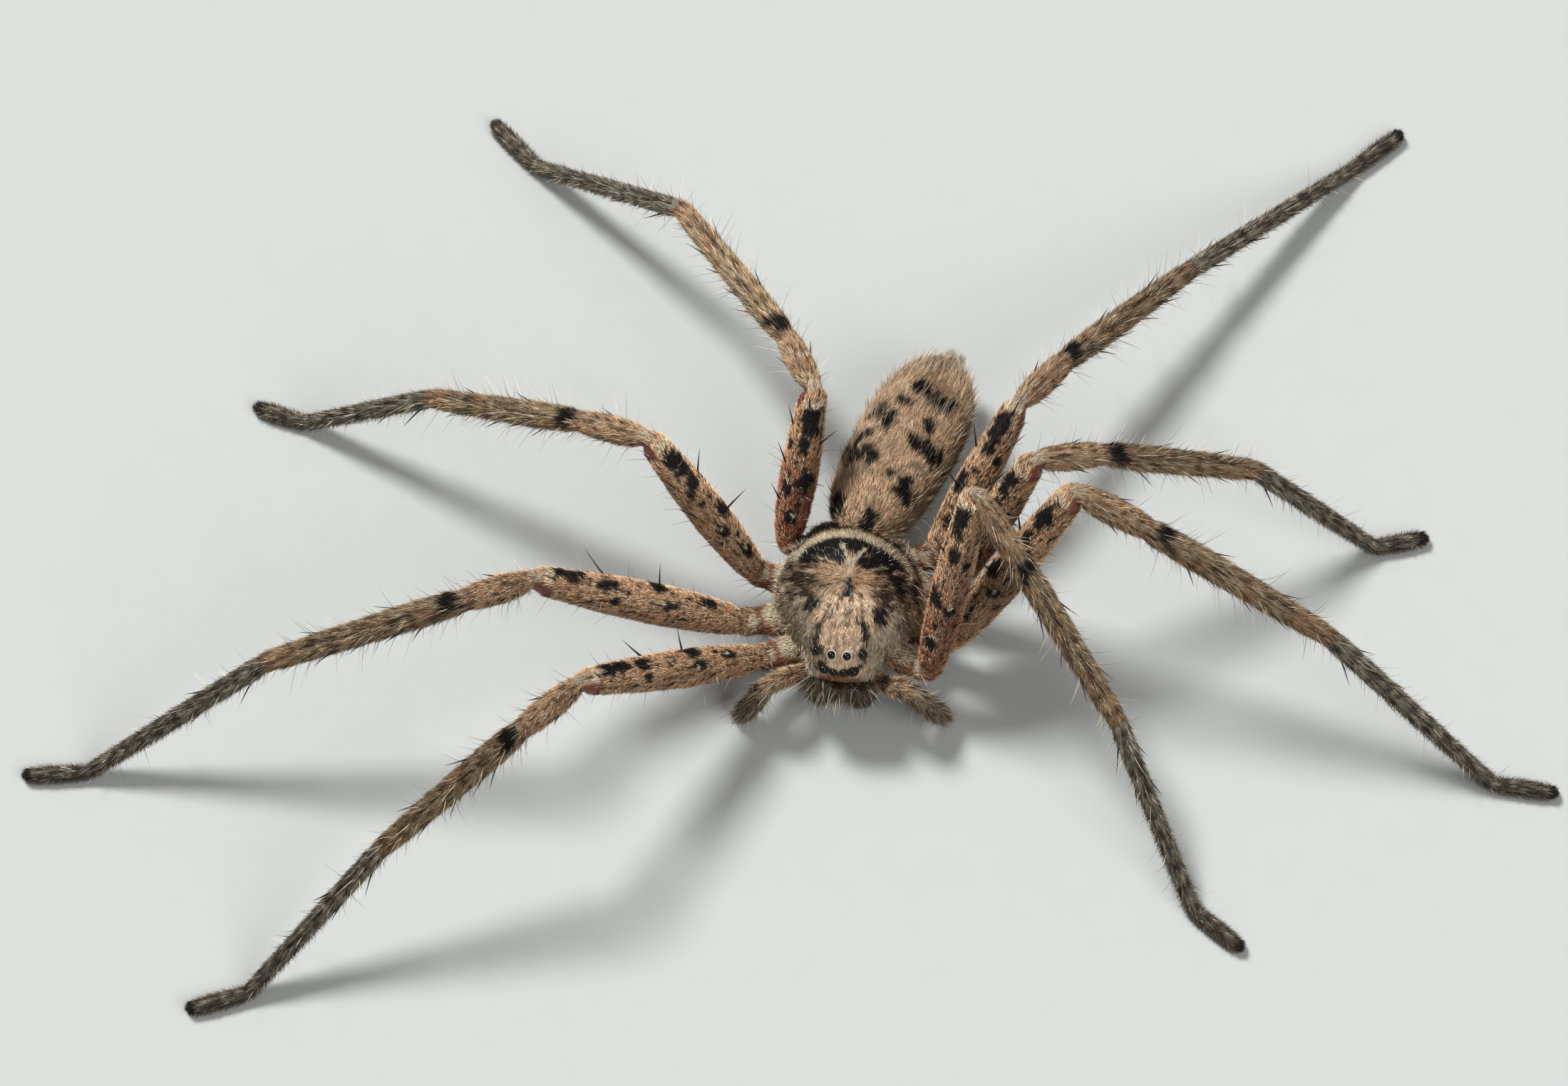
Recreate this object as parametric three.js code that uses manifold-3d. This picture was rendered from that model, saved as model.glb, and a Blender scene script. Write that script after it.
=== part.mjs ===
// A huntsman spider at life size, standing at rest on the floor with its legs spread.
// Millimetres, +Z up, the floor at z = 0. The head faces -Y, and +X is the spider's left.
// Every leg is a chain of coxa, femur, tibia (with the patella), metatarsus and tarsus,
// and its outline includes the short coat. Neighbouring pieces meet face to face.
import * as THREE from "three";
import { LoftGeometry } from "three/addons/geometries/LoftGeometry.js";
import { mergeVertices } from "three/addons/utils/BufferGeometryUtils.js";
import Module from "manifold-3d";

const wasm = await Module();
wasm.setup();

// Driving dimensions
const JOINT_GAP = 0.3;
const EYE_GAP = 0.08;
const FANG_GAP = 0.15;
const LIMB_SIDES = 10;
const BODY_SIDES = 20;

// Where the thorax stands and which way the body and the leg bases face, in degrees
const THORAX = { x: 3.75, y: -4.8, yaw: -6.7, roll: -3, rollHeight: 4 };
const LEG_BASES = { x: 3.8, y: -4.8, yaw: -4.5 };
const ABDOMEN = { x: 4.05, y: -1.0, heading: 62, length: 12.3, height: 3.95 };

// Segment lengths of each pair of legs: femur, patella, tibia, metatarsus, tarsus
const LEG_LENGTHS = [
  [13.38, 4.54, 11.09, 12.43, 3.35],
  [13.87, 4.66, 12.47, 14.0, 3.51],
  [12.16, 4.27, 9.92, 10.75, 2.92],
  [9.99, 4.06, 10.27, 13.33, 3.61],
];
// Stoutness of each pair beside the common limb profiles
const LEG_STOUTNESS = [0.97, 1.05, 0.98, 0.98];
// Where each pair's coxa starts beside the sternum, and its trochanter ends: out, back, height
const COXA_STARTS = [
  [2.2, -2.45, 2.75],
  [2.65, -0.75, 2.6],
  [2.6, 0.95, 2.7],
  [1.9, 2.55, 2.8],
];
const COXA_ENDS = [
  [4.88, -3.65, 3.42],
  [6.16, -1.42, 2.9],
  [5.58, 1.59, 3.08],
  [4.68, 3.36, 3.36],
];

// Each leg's pose: headings of its five segments, and rises of the first three, in degrees.
// The metatarsus comes down to the floor, and the tarsus lies on it.
const LEGS = [
  {
    name: "right_leg_1",
    side: -1,
    pair: 0,
    headings: [-159.0, -136.3, -145.7, -139.9, -164.6],
    rises: [36.5, 15.3, -28.1],
  },
  {
    name: "right_leg_2",
    side: -1,
    pair: 1,
    headings: [178.9, -153.3, -168.1, -158.6, -177.0],
    rises: [32.8, 26.5, -19.4],
  },
  {
    name: "right_leg_3",
    side: -1,
    pair: 2,
    headings: [140.5, 160.7, 162.7, 172.3, 161.2],
    rises: [50.6, -12.3, -22.6],
  },
  {
    name: "right_leg_4",
    side: -1,
    pair: 3,
    headings: [77.0, 113.8, 126.2, 146.5, 132.4],
    rises: [47.0, -15.0, -6.2],
    end: [3.9, 3.6, 3.36],
  },
  {
    name: "left_leg_1",
    side: 1,
    pair: 0,
    headings: [71.6, -50.4, -54.9, -64.0, -39.6],
    rises: [56.4, -34.0, -25.5],
  },
  {
    name: "left_leg_2",
    side: 1,
    pair: 1,
    headings: [38.4, -21.9, -25.5, -33.7, -8.3],
    rises: [52.9, -20.3, -21.0],
  },
  {
    name: "left_leg_3",
    side: 1,
    pair: 2,
    headings: [42.0, 11.8, 3.2, -16.6, 11.0],
    rises: [59.3, -18.4, -25.6],
  },
  {
    name: "left_leg_4",
    side: 1,
    pair: 3,
    headings: [58.4, 47.3, 41.0, 37.9, 37.6],
    rises: [24.7, -11.4, -13.9],
  },
];
// Heights of the tarsus's axis at its two ends
const TARSUS_HEIGHTS = [0.5, 0.42];

// Limb profiles: how far along the segment, half width across, half depth from back to belly
const COXA_PROFILE = [
  [0, 0.7, 0.72],
  [0.25, 0.95, 0.92],
  [0.6, 1.0, 1.0],
  [0.78, 0.86, 0.9],
  [0.9, 0.9, 0.92],
  [1, 0.78, 0.82],
];
const FEMUR_PROFILE = [
  [0, 0.8, 0.84],
  [0.16, 0.98, 1.05],
  [0.4, 1.16, 1.28],
  [0.66, 1.08, 1.18],
  [0.88, 0.88, 0.96],
  [1, 0.8, 0.84],
];
const PATELLA_PROFILE = [[0, 0.78, 0.82], [0.3, 0.83, 0.88], [0.8, 0.76, 0.8], [1, 0.62, 0.64]];
const TIBIA_PROFILE = [[0.06, 0.72, 0.76], [0.24, 0.78, 0.82], [0.6, 0.72, 0.76], [1, 0.6, 0.6]];
const METATARSUS_PROFILE = [
  [0, 0.56, 0.56],
  [0.25, 0.57, 0.59],
  [0.7, 0.47, 0.48],
  [1, 0.42, 0.42],
];
const TARSUS_PROFILE = [[0, 0.4, 0.44], [0.2, 0.44, 0.52], [0.65, 0.5, 0.56], [0.9, 0.46, 0.52]];
// A rounded limb end: how far past the joint and how wide, both beside the end's half width
const ROUND_END = [[0.4, 0.9], [0.75, 0.62]];

// Spines: how far along the segment, degrees round from the top towards the abdomen's side, length.
// The last one of the femur stands at the knee and reaches highest.
const SPINE = { radius: 0.32, tipRadius: 0.07, sunk: 0.45, lean: 42 };
const FEMUR_SPINES = [
  [0.3, -38, 2.2],
  [0.5, -52, 2.4],
  [0.74, -44, 2.1],
  [0.42, 52, 2.2],
  [0.7, 60, 2.0],
  [0.92, -8, 2.2],
];
const TIBIA_SPINES = [
  [0.4, 80, 2.2],
  [0.74, 86, 2.2],
  [0.4, -80, 2.2],
  [0.74, -86, 2.2],
  [0.26, 150, 2.4],
  [0.58, 150, 2.2],
  [0.26, -150, 2.4],
  [0.58, -150, 2.2],
];
const METATARSUS_SPINES = [[0.12, 125, 2.2], [0.12, -125, 2.2], [0.34, 95, 2.0], [0.34, -95, 2.0]];

// Carapace cross-sections from the rear edge to the clypeus: back, half width, margin height,
// top height, and how square the section is (1 is an ellipse, less is squarer)
const CARAPACE = [
  [4.5, 1.9, 4.05, 4.55, 0.9],
  [4.2, 2.35, 3.95, 5.05, 0.9],
  [3.5, 3.0, 3.85, 5.75, 0.95],
  [2.5, 3.65, 3.75, 6.35, 1],
  [1.2, 4.15, 3.7, 6.8, 1],
  [-0.1, 4.3, 3.7, 7.0, 1],
  [-1.3, 4.0, 3.75, 7.1, 0.95],
  [-2.3, 3.3, 3.85, 7.12, 0.88],
  [-3.2, 2.5, 3.95, 6.98, 0.8],
  [-3.9, 2.15, 4.05, 6.6, 0.72],
  [-4.4, 2.05, 4.15, 5.95, 0.7],
  [-4.8, 1.92, 4.2, 5.3, 0.72],
  [-4.98, 1.6, 4.25, 4.85, 0.8],
];
const CARAPACE_RIM = 0.42;

// Eyes, right side and left side alike: out from the midline, back, radius
const EYES = [
  { name: "eye_rear_middle", out: 0.43, back: -4.02, radius: 0.25 },
  { name: "eye_rear_side", out: 1.27, back: -3.86, radius: 0.23 },
  { name: "eye_front_side", out: 0.86, back: -4.62, radius: 0.26 },
  { name: "eye_front_middle", out: 0.3, back: -4.72, radius: 0.2 },
];
const EYE_PROUD = 0.45;

// Sternum cross-sections from front to rear: back, half width
const STERNUM = [[-3.3, 0.8], [-2.6, 1.4], [-1.4, 1.95], [0.2, 2.1], [1.6, 1.65], [2.9, 0.8]];
const STERNUM_HEIGHTS = [1.95, 3.0];

// Chelicera: back, height, half width, half depth, from the root down to the fang
const CHELICERA = [
  [-4.0, 4.15, 0.6, 0.6],
  [-4.45, 3.85, 0.84, 0.85],
  [-4.8, 3.2, 0.93, 0.98],
  [-4.88, 2.4, 0.9, 0.9],
  [-4.8, 1.75, 0.74, 0.7],
  [-4.72, 1.4, 0.5, 0.45],
];
const CHELICERA_OUT = 1.08;
// Fang: out, back, height and radius, folded under the chelicera
const FANG = [
  [1.35, -5.05, 0.95, 0.2],
  [1.15, -4.95, 0.72, 0.27],
  [0.75, -4.5, 0.62, 0.24],
  [0.35, -3.95, 0.7, 0.12],
];

// Palps: out, back, height and half width from the mouth to the knee, then on to the tip
const PALPS = [
  {
    name: "right_palp",
    side: -1,
    base: [
      [0.95, -3.5, 2.55, 0.62],
      [1.7, -3.85, 2.75, 0.62],
      [2.4, -4.35, 3.2, 0.5],
      [3.3, -5.05, 4.0, 0.56],
      [4.02, -5.65, 4.3, 0.5],
    ],
    tip: [
      [4.02, -5.65, 4.3, 0.5],
      [4.5, -6.0, 3.55, 0.58],
      [4.85, -6.2, 2.7, 0.6],
      [5.2, -6.35, 1.9, 0.64],
      [5.55, -6.45, 1.15, 0.55],
      [5.75, -6.5, 0.75, 0.3],
    ],
  },
  {
    name: "left_palp",
    side: 1,
    base: [
      [0.95, -3.5, 2.55, 0.62],
      [1.7, -3.95, 2.75, 0.62],
      [2.4, -4.5, 3.15, 0.5],
      [3.2, -4.85, 3.9, 0.56],
      [3.97, -5.05, 4.3, 0.5],
    ],
    tip: [
      [3.97, -5.05, 4.3, 0.5],
      [4.45, -5.25, 3.6, 0.58],
      [4.9, -5.35, 2.75, 0.6],
      [5.35, -5.4, 1.95, 0.64],
      [5.8, -5.45, 1.15, 0.55],
      [6.05, -5.45, 0.75, 0.3],
    ],
  },
];

// Abdomen: how far along from the front, half width, half height, lift of the axis
const ABDOMEN_PROFILE = [
  [0.0, 1.0, 0.9, 0.1],
  [0.04, 1.75, 1.5, 0.1],
  [0.12, 2.4, 2.05, 0.1],
  [0.25, 2.85, 2.5, 0.1],
  [0.42, 3.05, 2.72, 0.05],
  [0.6, 3.08, 2.72, 0],
  [0.76, 2.8, 2.45, 0],
  [0.88, 2.2, 1.9, 0.05],
  [0.96, 1.35, 1.2, 0.1],
  [1.0, 0.6, 0.55, 0.15],
];
const PEDICEL = { radius: 0.5, height: 3.0, drop: 0.45, clear: 0.5, sunk: 1 };
// Spinnerets: two above and two below, how far they start inside the tail and stand out of it
const SPINNERETS = { out: 0.36, drop: 0.5, radius: 0.32, sunk: 1.0, length: 1.0, height: 3.95, rise: -10 };

// Finishes of the plain solids
const FINISHES = {
  coat: { color: 0xa8805a, roughness: 0.85 },
  belly: { color: 0x8a6a4c, roughness: 0.85 },
  eye: { color: 0x0b0a0a, roughness: 0.15 },
  fang: { color: 0x1c0f0b, roughness: 0.15 },
};

// Directions and places
const vec = (x, y, z) => new THREE.Vector3(x, y, z);
const WORLD_UP = vec(0, 0, 1);
const radians = THREE.MathUtils.degToRad;

function direction(heading, rise) {
  const level = Math.cos(radians(rise));
  const turn = radians(heading);
  return vec(level * Math.cos(turn), level * Math.sin(turn), Math.sin(radians(rise)));
}

// A point given out from the midline, back and up, on a base that is turned by its yaw
function placed(base, out, back, height) {
  return vec(out, back, height).applyAxisAngle(WORLD_UP, radians(base.yaw)).add(vec(base.x, base.y, 0));
}

// The thorax also leans over by its roll, round a line along the body
function onThorax(out, back, height) {
  const leaned = vec(out, 0, height - THORAX.rollHeight).applyAxisAngle(vec(0, 1, 0), radians(THORAX.roll));
  return placed(THORAX, leaned.x, back, leaned.z + THORAX.rollHeight);
}

// Solids
function solidOf(geometry) {
  const bare = new THREE.BufferGeometry();
  bare.setIndex(geometry.index);
  bare.setAttribute("position", geometry.getAttribute("position"));
  const merged = mergeVertices(bare, 1e-4);
  return new wasm.Manifold(
    new wasm.Mesh({
      numProp: 3,
      vertProperties: merged.attributes.position.array,
      triVerts: new Uint32Array(merged.index.array),
    }),
  );
}

function geometryOf(solid) {
  const mesh = solid.getMesh();
  const geometry = new THREE.BufferGeometry();
  geometry.setAttribute("position", new THREE.BufferAttribute(mesh.vertProperties, 3));
  geometry.setIndex(new THREE.BufferAttribute(mesh.triVerts, 1));
  geometry.computeVertexNormals();
  return geometry;
}

function largestBody(solid) {
  return solid.decompose().reduce((best, body) => (body.volume() > best.volume() ? body : best));
}

const loft = (rings) => solidOf(new LoftGeometry(rings, { capStart: true, capEnd: true }));

// An oval ring of points round a centre, across "side" and "up", which turns with side x up
function ovalRing(centre, side, up, halfWide, halfDeep, sides) {
  return Array.from({ length: sides }, (_, i) => {
    const turn = (2 * Math.PI * i) / sides;
    return centre
      .clone()
      .addScaledVector(side, halfWide * Math.cos(turn))
      .addScaledVector(up, halfDeep * Math.sin(turn));
  });
}

// A tube through stations, each a centre with its half width and half depth.
// "grow" makes it fatter and longer, which leaves a gap when the grown tube is cut away.
function tube(stations, sides = LIMB_SIDES, grow = 0) {
  const rings = stations.map((station, i) => {
    const before = stations[Math.max(i - 1, 0)].centre;
    const after = stations[Math.min(i + 1, stations.length - 1)].centre;
    const ahead = after.clone().sub(before).normalize();
    const side = WORLD_UP.clone().cross(ahead).normalize();
    const up = ahead.clone().cross(side);
    const past = i === 0 ? -grow : i === stations.length - 1 ? grow : 0;
    const centre = station.centre.clone().addScaledVector(ahead, past);
    return ovalRing(centre, side, up, station.wide + grow, station.deep + grow, sides);
  });
  return loft(rings);
}

const along = (from, ahead, length, profile, stout) =>
  profile.map(([at, wide, deep]) => ({
    centre: from.clone().addScaledVector(ahead, at * length),
    wide: wide * stout,
    deep: deep * stout,
  }));

// Adds a rounded end past the first and the last station
function rounded(stations) {
  const end = (station, neighbour) => {
    const out = station.centre.clone().sub(neighbour.centre).normalize();
    return ROUND_END.map(([past, width]) => ({
      centre: station.centre.clone().addScaledVector(out, past * station.wide),
      wide: station.wide * width,
      deep: station.deep * width,
    }));
  };
  const last = stations.length - 1;
  return [
    ...end(stations[0], stations[1]).reverse(),
    ...stations,
    ...end(stations[last], stations[last - 1]),
  ];
}

// Keeps what lies past a joint's plane (or before it, with sign -1), less half the joint's gap
function cutAt(solid, joint, ahead, sign) {
  const normal = ahead.clone().multiplyScalar(sign);
  return solid.trimByPlane(normal.toArray(), normal.dot(joint) + JOINT_GAP / 2);
}

// A curved three-sided spine with its root sunk in the surface
function spine(root, out, ahead, length, grow) {
  const lean = radians(SPINE.lean);
  const rise = out.clone().multiplyScalar(Math.cos(lean)).addScaledVector(ahead, Math.sin(lean));
  const bent = out.clone().multiplyScalar(0.5).addScaledVector(ahead, 0.87).normalize();
  const foot = root.clone().addScaledVector(rise, -SPINE.sunk);
  const middle = root.clone().addScaledVector(rise, length * 0.55);
  const tip = middle.clone().addScaledVector(rise, length * 0.25).addScaledVector(bent, length * 0.2);
  const side = out.clone().cross(ahead).normalize();
  const back = rise.clone().cross(side);
  const ring = (centre, radius) => ovalRing(centre, side, back, radius + grow, radius + grow, 3);
  return loft([
    ring(foot, SPINE.radius),
    ring(middle, SPINE.radius * 0.72),
    ring(tip.addScaledVector(bent, grow), SPINE.tipRadius),
  ]);
}

// Half width and half depth of a limb at one place along its profile
function profileAt(profile, at) {
  const next = profile.findIndex((row) => row[0] >= at);
  if (next <= 0) return profile[0].slice(1);
  const [low, high] = [profile[next - 1], profile[next]];
  const mix = (at - low[0]) / (high[0] - low[0]);
  return [low[1] + mix * (high[1] - low[1]), low[2] + mix * (high[2] - low[2])];
}

function spinesOf(rows, from, ahead, length, profile, leg, grow = 0) {
  const side = WORLD_UP.clone().cross(ahead).normalize();
  const up = ahead.clone().cross(side).normalize();
  return rows.map(([at, turn, size]) => {
    const [wide, deep] = profileAt(profile, at).map((half) => half * LEG_STOUTNESS[leg.pair]);
    const angle = radians(turn) * leg.side;
    const root = from
      .clone()
      .addScaledVector(ahead, at * length)
      .addScaledVector(side, wide * Math.sin(angle))
      .addScaledVector(up, deep * Math.cos(angle));
    const out = side.clone().multiplyScalar(Math.sin(angle)).addScaledVector(up, Math.cos(angle));
    return spine(root, out, ahead, size, grow);
  });
}

const fused = (solids) => solids.reduce((sum, next) => sum.add(next));
const clear = (solid, cutters) => cutters.reduce((rest, cutter) => rest.subtract(cutter), solid);

// The joints of a leg, from the end of its trochanter to the tip of its tarsus
function jointsOf(leg) {
  const lengths = LEG_LENGTHS[leg.pair];
  const [out, back, height] = leg.end ?? COXA_ENDS[leg.pair];
  const points = [placed(LEG_BASES, leg.side * out, back, height)];
  leg.headings.forEach((heading, i) => {
    const from = points[i];
    const floorRise = (target) => THREE.MathUtils.radToDeg(Math.asin((target - from.z) / lengths[i]));
    const rise = i < 3 ? leg.rises[i] : floorRise(TARSUS_HEIGHTS[i - 3]);
    points.push(from.clone().addScaledVector(direction(heading, rise), lengths[i]));
  });
  return points;
}

const aheadOf = (from, to) => to.clone().sub(from).normalize();
const mitre = (before, after) => before.clone().add(after).normalize();

// A leg's plain tubes, the planes of its joints, and the grown tubes that its neighbours are cut by
function shapeLeg(leg) {
  const stout = LEG_STOUTNESS[leg.pair];
  const lengths = LEG_LENGTHS[leg.pair];
  const [startOut, startBack, startHeight] = COXA_STARTS[leg.pair];
  const root = placed(LEG_BASES, leg.side * startOut, startBack, startHeight);
  const [hip, knee, shin, ankle, wrist, tip] = jointsOf(leg);
  const ahead = {
    coxa: aheadOf(root, hip),
    femur: aheadOf(hip, knee),
    patella: aheadOf(knee, shin),
    tibia: aheadOf(shin, ankle),
    metatarsus: aheadOf(ankle, wrist),
    tarsus: aheadOf(wrist, tip),
  };
  const stations = {
    coxa: along(root, ahead.coxa, root.distanceTo(hip), COXA_PROFILE, stout),
    femur: along(hip, ahead.femur, lengths[0], FEMUR_PROFILE, stout),
    tibia: [
      ...along(knee, ahead.patella, lengths[1], PATELLA_PROFILE, stout),
      ...along(shin, ahead.tibia, lengths[2], TIBIA_PROFILE, stout),
    ],
    metatarsus: along(ankle, ahead.metatarsus, lengths[3], METATARSUS_PROFILE, stout),
    tarsus: along(wrist, ahead.tarsus, lengths[4], TARSUS_PROFILE, 1),
  };
  const planes = {
    hip: mitre(ahead.coxa, ahead.femur),
    knee: mitre(ahead.femur, ahead.patella),
    ankle: mitre(ahead.tibia, ahead.metatarsus),
    wrist: mitre(ahead.metatarsus, ahead.tarsus),
  };
  const grown = Object.fromEntries(
    ["coxa", "femur", "tibia"].map((name) => [name, tube(rounded(stations[name]), LIMB_SIDES, JOINT_GAP)]),
  );
  grown.spines = fused(
    spinesOf(FEMUR_SPINES, hip, ahead.femur, lengths[0], FEMUR_PROFILE, leg, JOINT_GAP),
  );
  const joints = { hip, knee, shin, ankle, wrist };
  return { ...leg, lengths, joints, ahead, stations, planes, grown };
}

// The five solids of a leg, each cut at its joints, with its spines cut clear of the obstacles
function makeLeg(leg, obstacles) {
  const { joints, planes, stations, ahead } = leg;
  const between = (name, near, far) => {
    const whole = tube(rounded(stations[name]));
    const started = near ? cutAt(whole, joints[near], planes[near], 1) : whole;
    return far ? cutAt(started, joints[far], planes[far], -1) : started;
  };
  const withSpines = (near, far, segment, rows, root, length, profile) => {
    const spines = spinesOf(rows, joints[root], ahead[segment], length, profile, leg);
    return fused([between(segment, near, far), ...spines.map((one) => clear(one, obstacles))]);
  };
  const [femur, , tibia, metatarsus] = leg.lengths;
  return {
    coxa: between("coxa", null, "hip"),
    femur: withSpines("hip", "knee", "femur", FEMUR_SPINES, "hip", femur, FEMUR_PROFILE),
    tibia: withSpines("knee", "ankle", "tibia", TIBIA_SPINES, "shin", tibia, TIBIA_PROFILE),
    metatarsus: withSpines(
      "ankle",
      "wrist",
      "metatarsus",
      METATARSUS_SPINES,
      "ankle",
      metatarsus,
      METATARSUS_PROFILE,
    ),
    tarsus: between("tarsus", "wrist", null).trimByPlane([0, 0, 1], 0),
  };
}

// Body pieces
function makeCarapace(grow = 0) {
  const rings = CARAPACE.map(([back, halfWidth, margin, top, square], row) => {
    const past = row === 0 ? grow : row === CARAPACE.length - 1 ? -grow : 0;
    return Array.from({ length: BODY_SIDES }, (_, i) => {
      const turn = (2 * Math.PI * i) / BODY_SIDES;
      const across = Math.sign(Math.cos(turn)) * Math.abs(Math.cos(turn)) ** square;
      const lift = Math.sin(turn);
      const above = (top - margin + grow) * Math.max(lift, 0) ** square;
      const below = (CARAPACE_RIM + grow) * Math.sqrt(Math.max(-lift, 0));
      const height = above - below;
      return onThorax(across * (halfWidth + grow), back + past, margin + height);
    });
  });
  return loft(rings);
}

// Height of the carapace's top at a place out from the midline and back
function carapaceTop(out, back) {
  const next = CARAPACE.findIndex((row) => row[0] <= back);
  const [rear, front] = [CARAPACE[next - 1], CARAPACE[next]];
  const mix = (rear[0] - back) / (rear[0] - front[0]);
  const [halfWidth, margin, top, square] = [1, 2, 3, 4].map((k) => rear[k] + mix * (front[k] - rear[k]));
  const lift = Math.sqrt(1 - (Math.abs(out) / halfWidth) ** (2 / square));
  return margin + (top - margin) * lift ** square;
}

function makeEyes() {
  return EYES.flatMap((eye) =>
    [-1, 1].map((side) => {
      const step = 0.02;
      const at = (out, back) => vec(out, back, carapaceTop(out, back));
      const centre = at(eye.out, eye.back);
      const outSlope = at(eye.out + step, eye.back).sub(centre);
      const backSlope = at(eye.out, eye.back + step).sub(centre);
      const proud = outSlope.cross(backSlope).normalize().multiplyScalar(eye.radius * EYE_PROUD);
      const place = onThorax(side * (centre.x + proud.x), centre.y + proud.y, centre.z + proud.z);
      const ball = (radius) => {
        const sphere = new THREE.SphereGeometry(radius, 8, 6).rotateX(Math.PI / 2);
        return solidOf(sphere.translate(place.x, place.y, place.z));
      };
      const sideName = side < 0 ? "right" : "left";
      const name = `${sideName}_${eye.name}`;
      return { name, solid: ball(eye.radius), socket: ball(eye.radius + EYE_GAP) };
    }),
  );
}

function makeSternum() {
  const [low, high] = STERNUM_HEIGHTS;
  const middle = (low + high) / 2;
  const half = (high - low) / 2;
  const rings = STERNUM.map(([back, halfWidth]) =>
    Array.from({ length: 12 }, (_, i) => {
      const turn = (2 * Math.PI * i) / 12;
      const squared = (value) => Math.sign(value) * Math.abs(value) ** 0.6;
      const across = halfWidth * squared(Math.cos(turn));
      return placed(THORAX, across, back, middle - half * squared(Math.sin(turn)));
    }),
  );
  return loft(rings);
}

function makeChelicera(side, grow = 0) {
  const stations = CHELICERA.map(([back, height, wide, deep]) => ({ back, height, wide, deep }));
  const rings = stations.map((station, i) => {
    const before = stations[Math.max(i - 1, 0)];
    const after = stations[Math.min(i + 1, stations.length - 1)];
    const { x: rearward, y: upward } = new THREE.Vector2(
      after.back - before.back,
      after.height - before.height,
    ).normalize();
    return Array.from({ length: 12 }, (_, k) => {
      const turn = (2 * Math.PI * k) / 12;
      const across = (station.wide + grow) * Math.cos(turn);
      const deep = (station.deep + grow) * Math.sin(turn);
      const back = station.back + upward * deep;
      return onThorax(side * CHELICERA_OUT + across, back, station.height - rearward * deep);
    });
  });
  return loft(rings);
}

function chainStations(rows, side) {
  return rows.map(([out, back, height, radius]) => ({
    centre: onThorax(side * out, back, height),
    wide: radius,
    deep: radius,
  }));
}

function makeAbdomen(grow = 0) {
  const ahead = direction(ABDOMEN.heading, 0);
  const side = WORLD_UP.clone().cross(ahead);
  const rings = ABDOMEN_PROFILE.map(([at, wide, deep, lift], row) => {
    const past = row === 0 ? -grow : row === ABDOMEN_PROFILE.length - 1 ? grow : 0;
    const front = vec(ABDOMEN.x, ABDOMEN.y, ABDOMEN.height + lift);
    const centre = front.addScaledVector(ahead, at * ABDOMEN.length + past);
    return ovalRing(centre, side, WORLD_UP, wide + grow, deep + grow, BODY_SIDES);
  });
  return loft(rings);
}

function makePedicel() {
  const ahead = direction(ABDOMEN.heading, 0);
  const end = vec(ABDOMEN.x, ABDOMEN.y, PEDICEL.height).addScaledVector(ahead, PEDICEL.sunk);
  const sternumRear = STERNUM[STERNUM.length - 1][0];
  const start = placed(THORAX, 0, sternumRear + PEDICEL.clear, PEDICEL.height - PEDICEL.drop);
  return tube([
    { centre: start, wide: PEDICEL.radius, deep: PEDICEL.radius },
    { centre: end, wide: PEDICEL.radius, deep: PEDICEL.radius },
  ]);
}

function makeSpinnerets() {
  const { out, drop, radius, sunk, length, height, rise } = SPINNERETS;
  const ahead = direction(ABDOMEN.heading, rise);
  const side = WORLD_UP.clone().cross(ahead).normalize();
  const inside = direction(ABDOMEN.heading, 0).multiplyScalar(ABDOMEN.length - sunk);
  const tail = vec(ABDOMEN.x, ABDOMEN.y, height).add(inside);
  const cones = [-1, 1].flatMap((turn) =>
    [0, -drop].map((lower) => {
      const from = tail.clone().addScaledVector(side, turn * out).add(vec(0, 0, lower));
      const at = (distance, width) => ({
        centre: from.clone().addScaledVector(ahead, distance),
        wide: radius * width,
        deep: radius * width,
      });
      return tube([at(0, 1.2), at(sunk + length * 0.6, 1), at(sunk + length, 0.5)], 8);
    }),
  );
  return fused(cones).subtract(makeAbdomen(JOINT_GAP));
}

// Assembly
const spider = new THREE.Group();
const finishes = Object.fromEntries(
  Object.entries(FINISHES).map(([name, { color, roughness }]) => [
    name,
    new THREE.MeshStandardMaterial({ color, roughness, metalness: 0 }),
  ]),
);

function add(name, solid, finish = "coat") {
  const mesh = new THREE.Mesh(geometryOf(largestBody(solid)), finishes[finish]);
  mesh.name = name;
  spider.add(mesh);
}

const eyes = makeEyes();
const carapace = eyes.reduce((shell, eye) => shell.subtract(eye.socket), makeCarapace());
const grownCarapace = makeCarapace(JOINT_GAP);
const sternum = makeSternum();
const grownAbdomen = makeAbdomen(JOINT_GAP);
const legs = LEGS.map(shapeLeg);

add("carapace", carapace);
eyes.forEach((eye) => add(eye.name, eye.solid, "eye"));
add("sternum", sternum, "belly");

// Each leg's root gives way to the carapace, the sternum and the leg in front of it
const grownSternum = tube(
  STERNUM.map(([back, halfWidth]) => ({ centre: placed(THORAX, 0, back, 2.5), wide: halfWidth, deep: 1 })),
  12,
  JOINT_GAP,
);
legs.forEach((leg, i) => {
  const others = legs.filter((other) => other.side === leg.side && other !== leg);
  const obstacles = others.flatMap(({ pair, grown }) => [
    grown.femur,
    grown.tibia,
    ...(pair < leg.pair ? [grown.spines] : []),
  ]);
  const pieces = makeLeg(leg, [...obstacles, grownAbdomen]);
  const ahead = leg.pair > 0 ? [legs[i - 1].grown.coxa, legs[i - 1].grown.femur] : [];
  pieces.coxa = clear(pieces.coxa, [grownCarapace, grownSternum, ...ahead]);
  pieces.femur = clear(pieces.femur, [grownCarapace, ...ahead]);
  Object.entries(pieces).forEach(([segment, solid]) => add(`${leg.name}_${segment}`, solid));
});

const lastLegs = legs.filter((leg) => leg.pair === 3).flatMap((leg) => [leg.grown.coxa, leg.grown.femur]);
add("abdomen", clear(makeAbdomen().add(makePedicel()), [grownCarapace, ...lastLegs]));
add("spinnerets", makeSpinnerets(), "belly");

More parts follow.
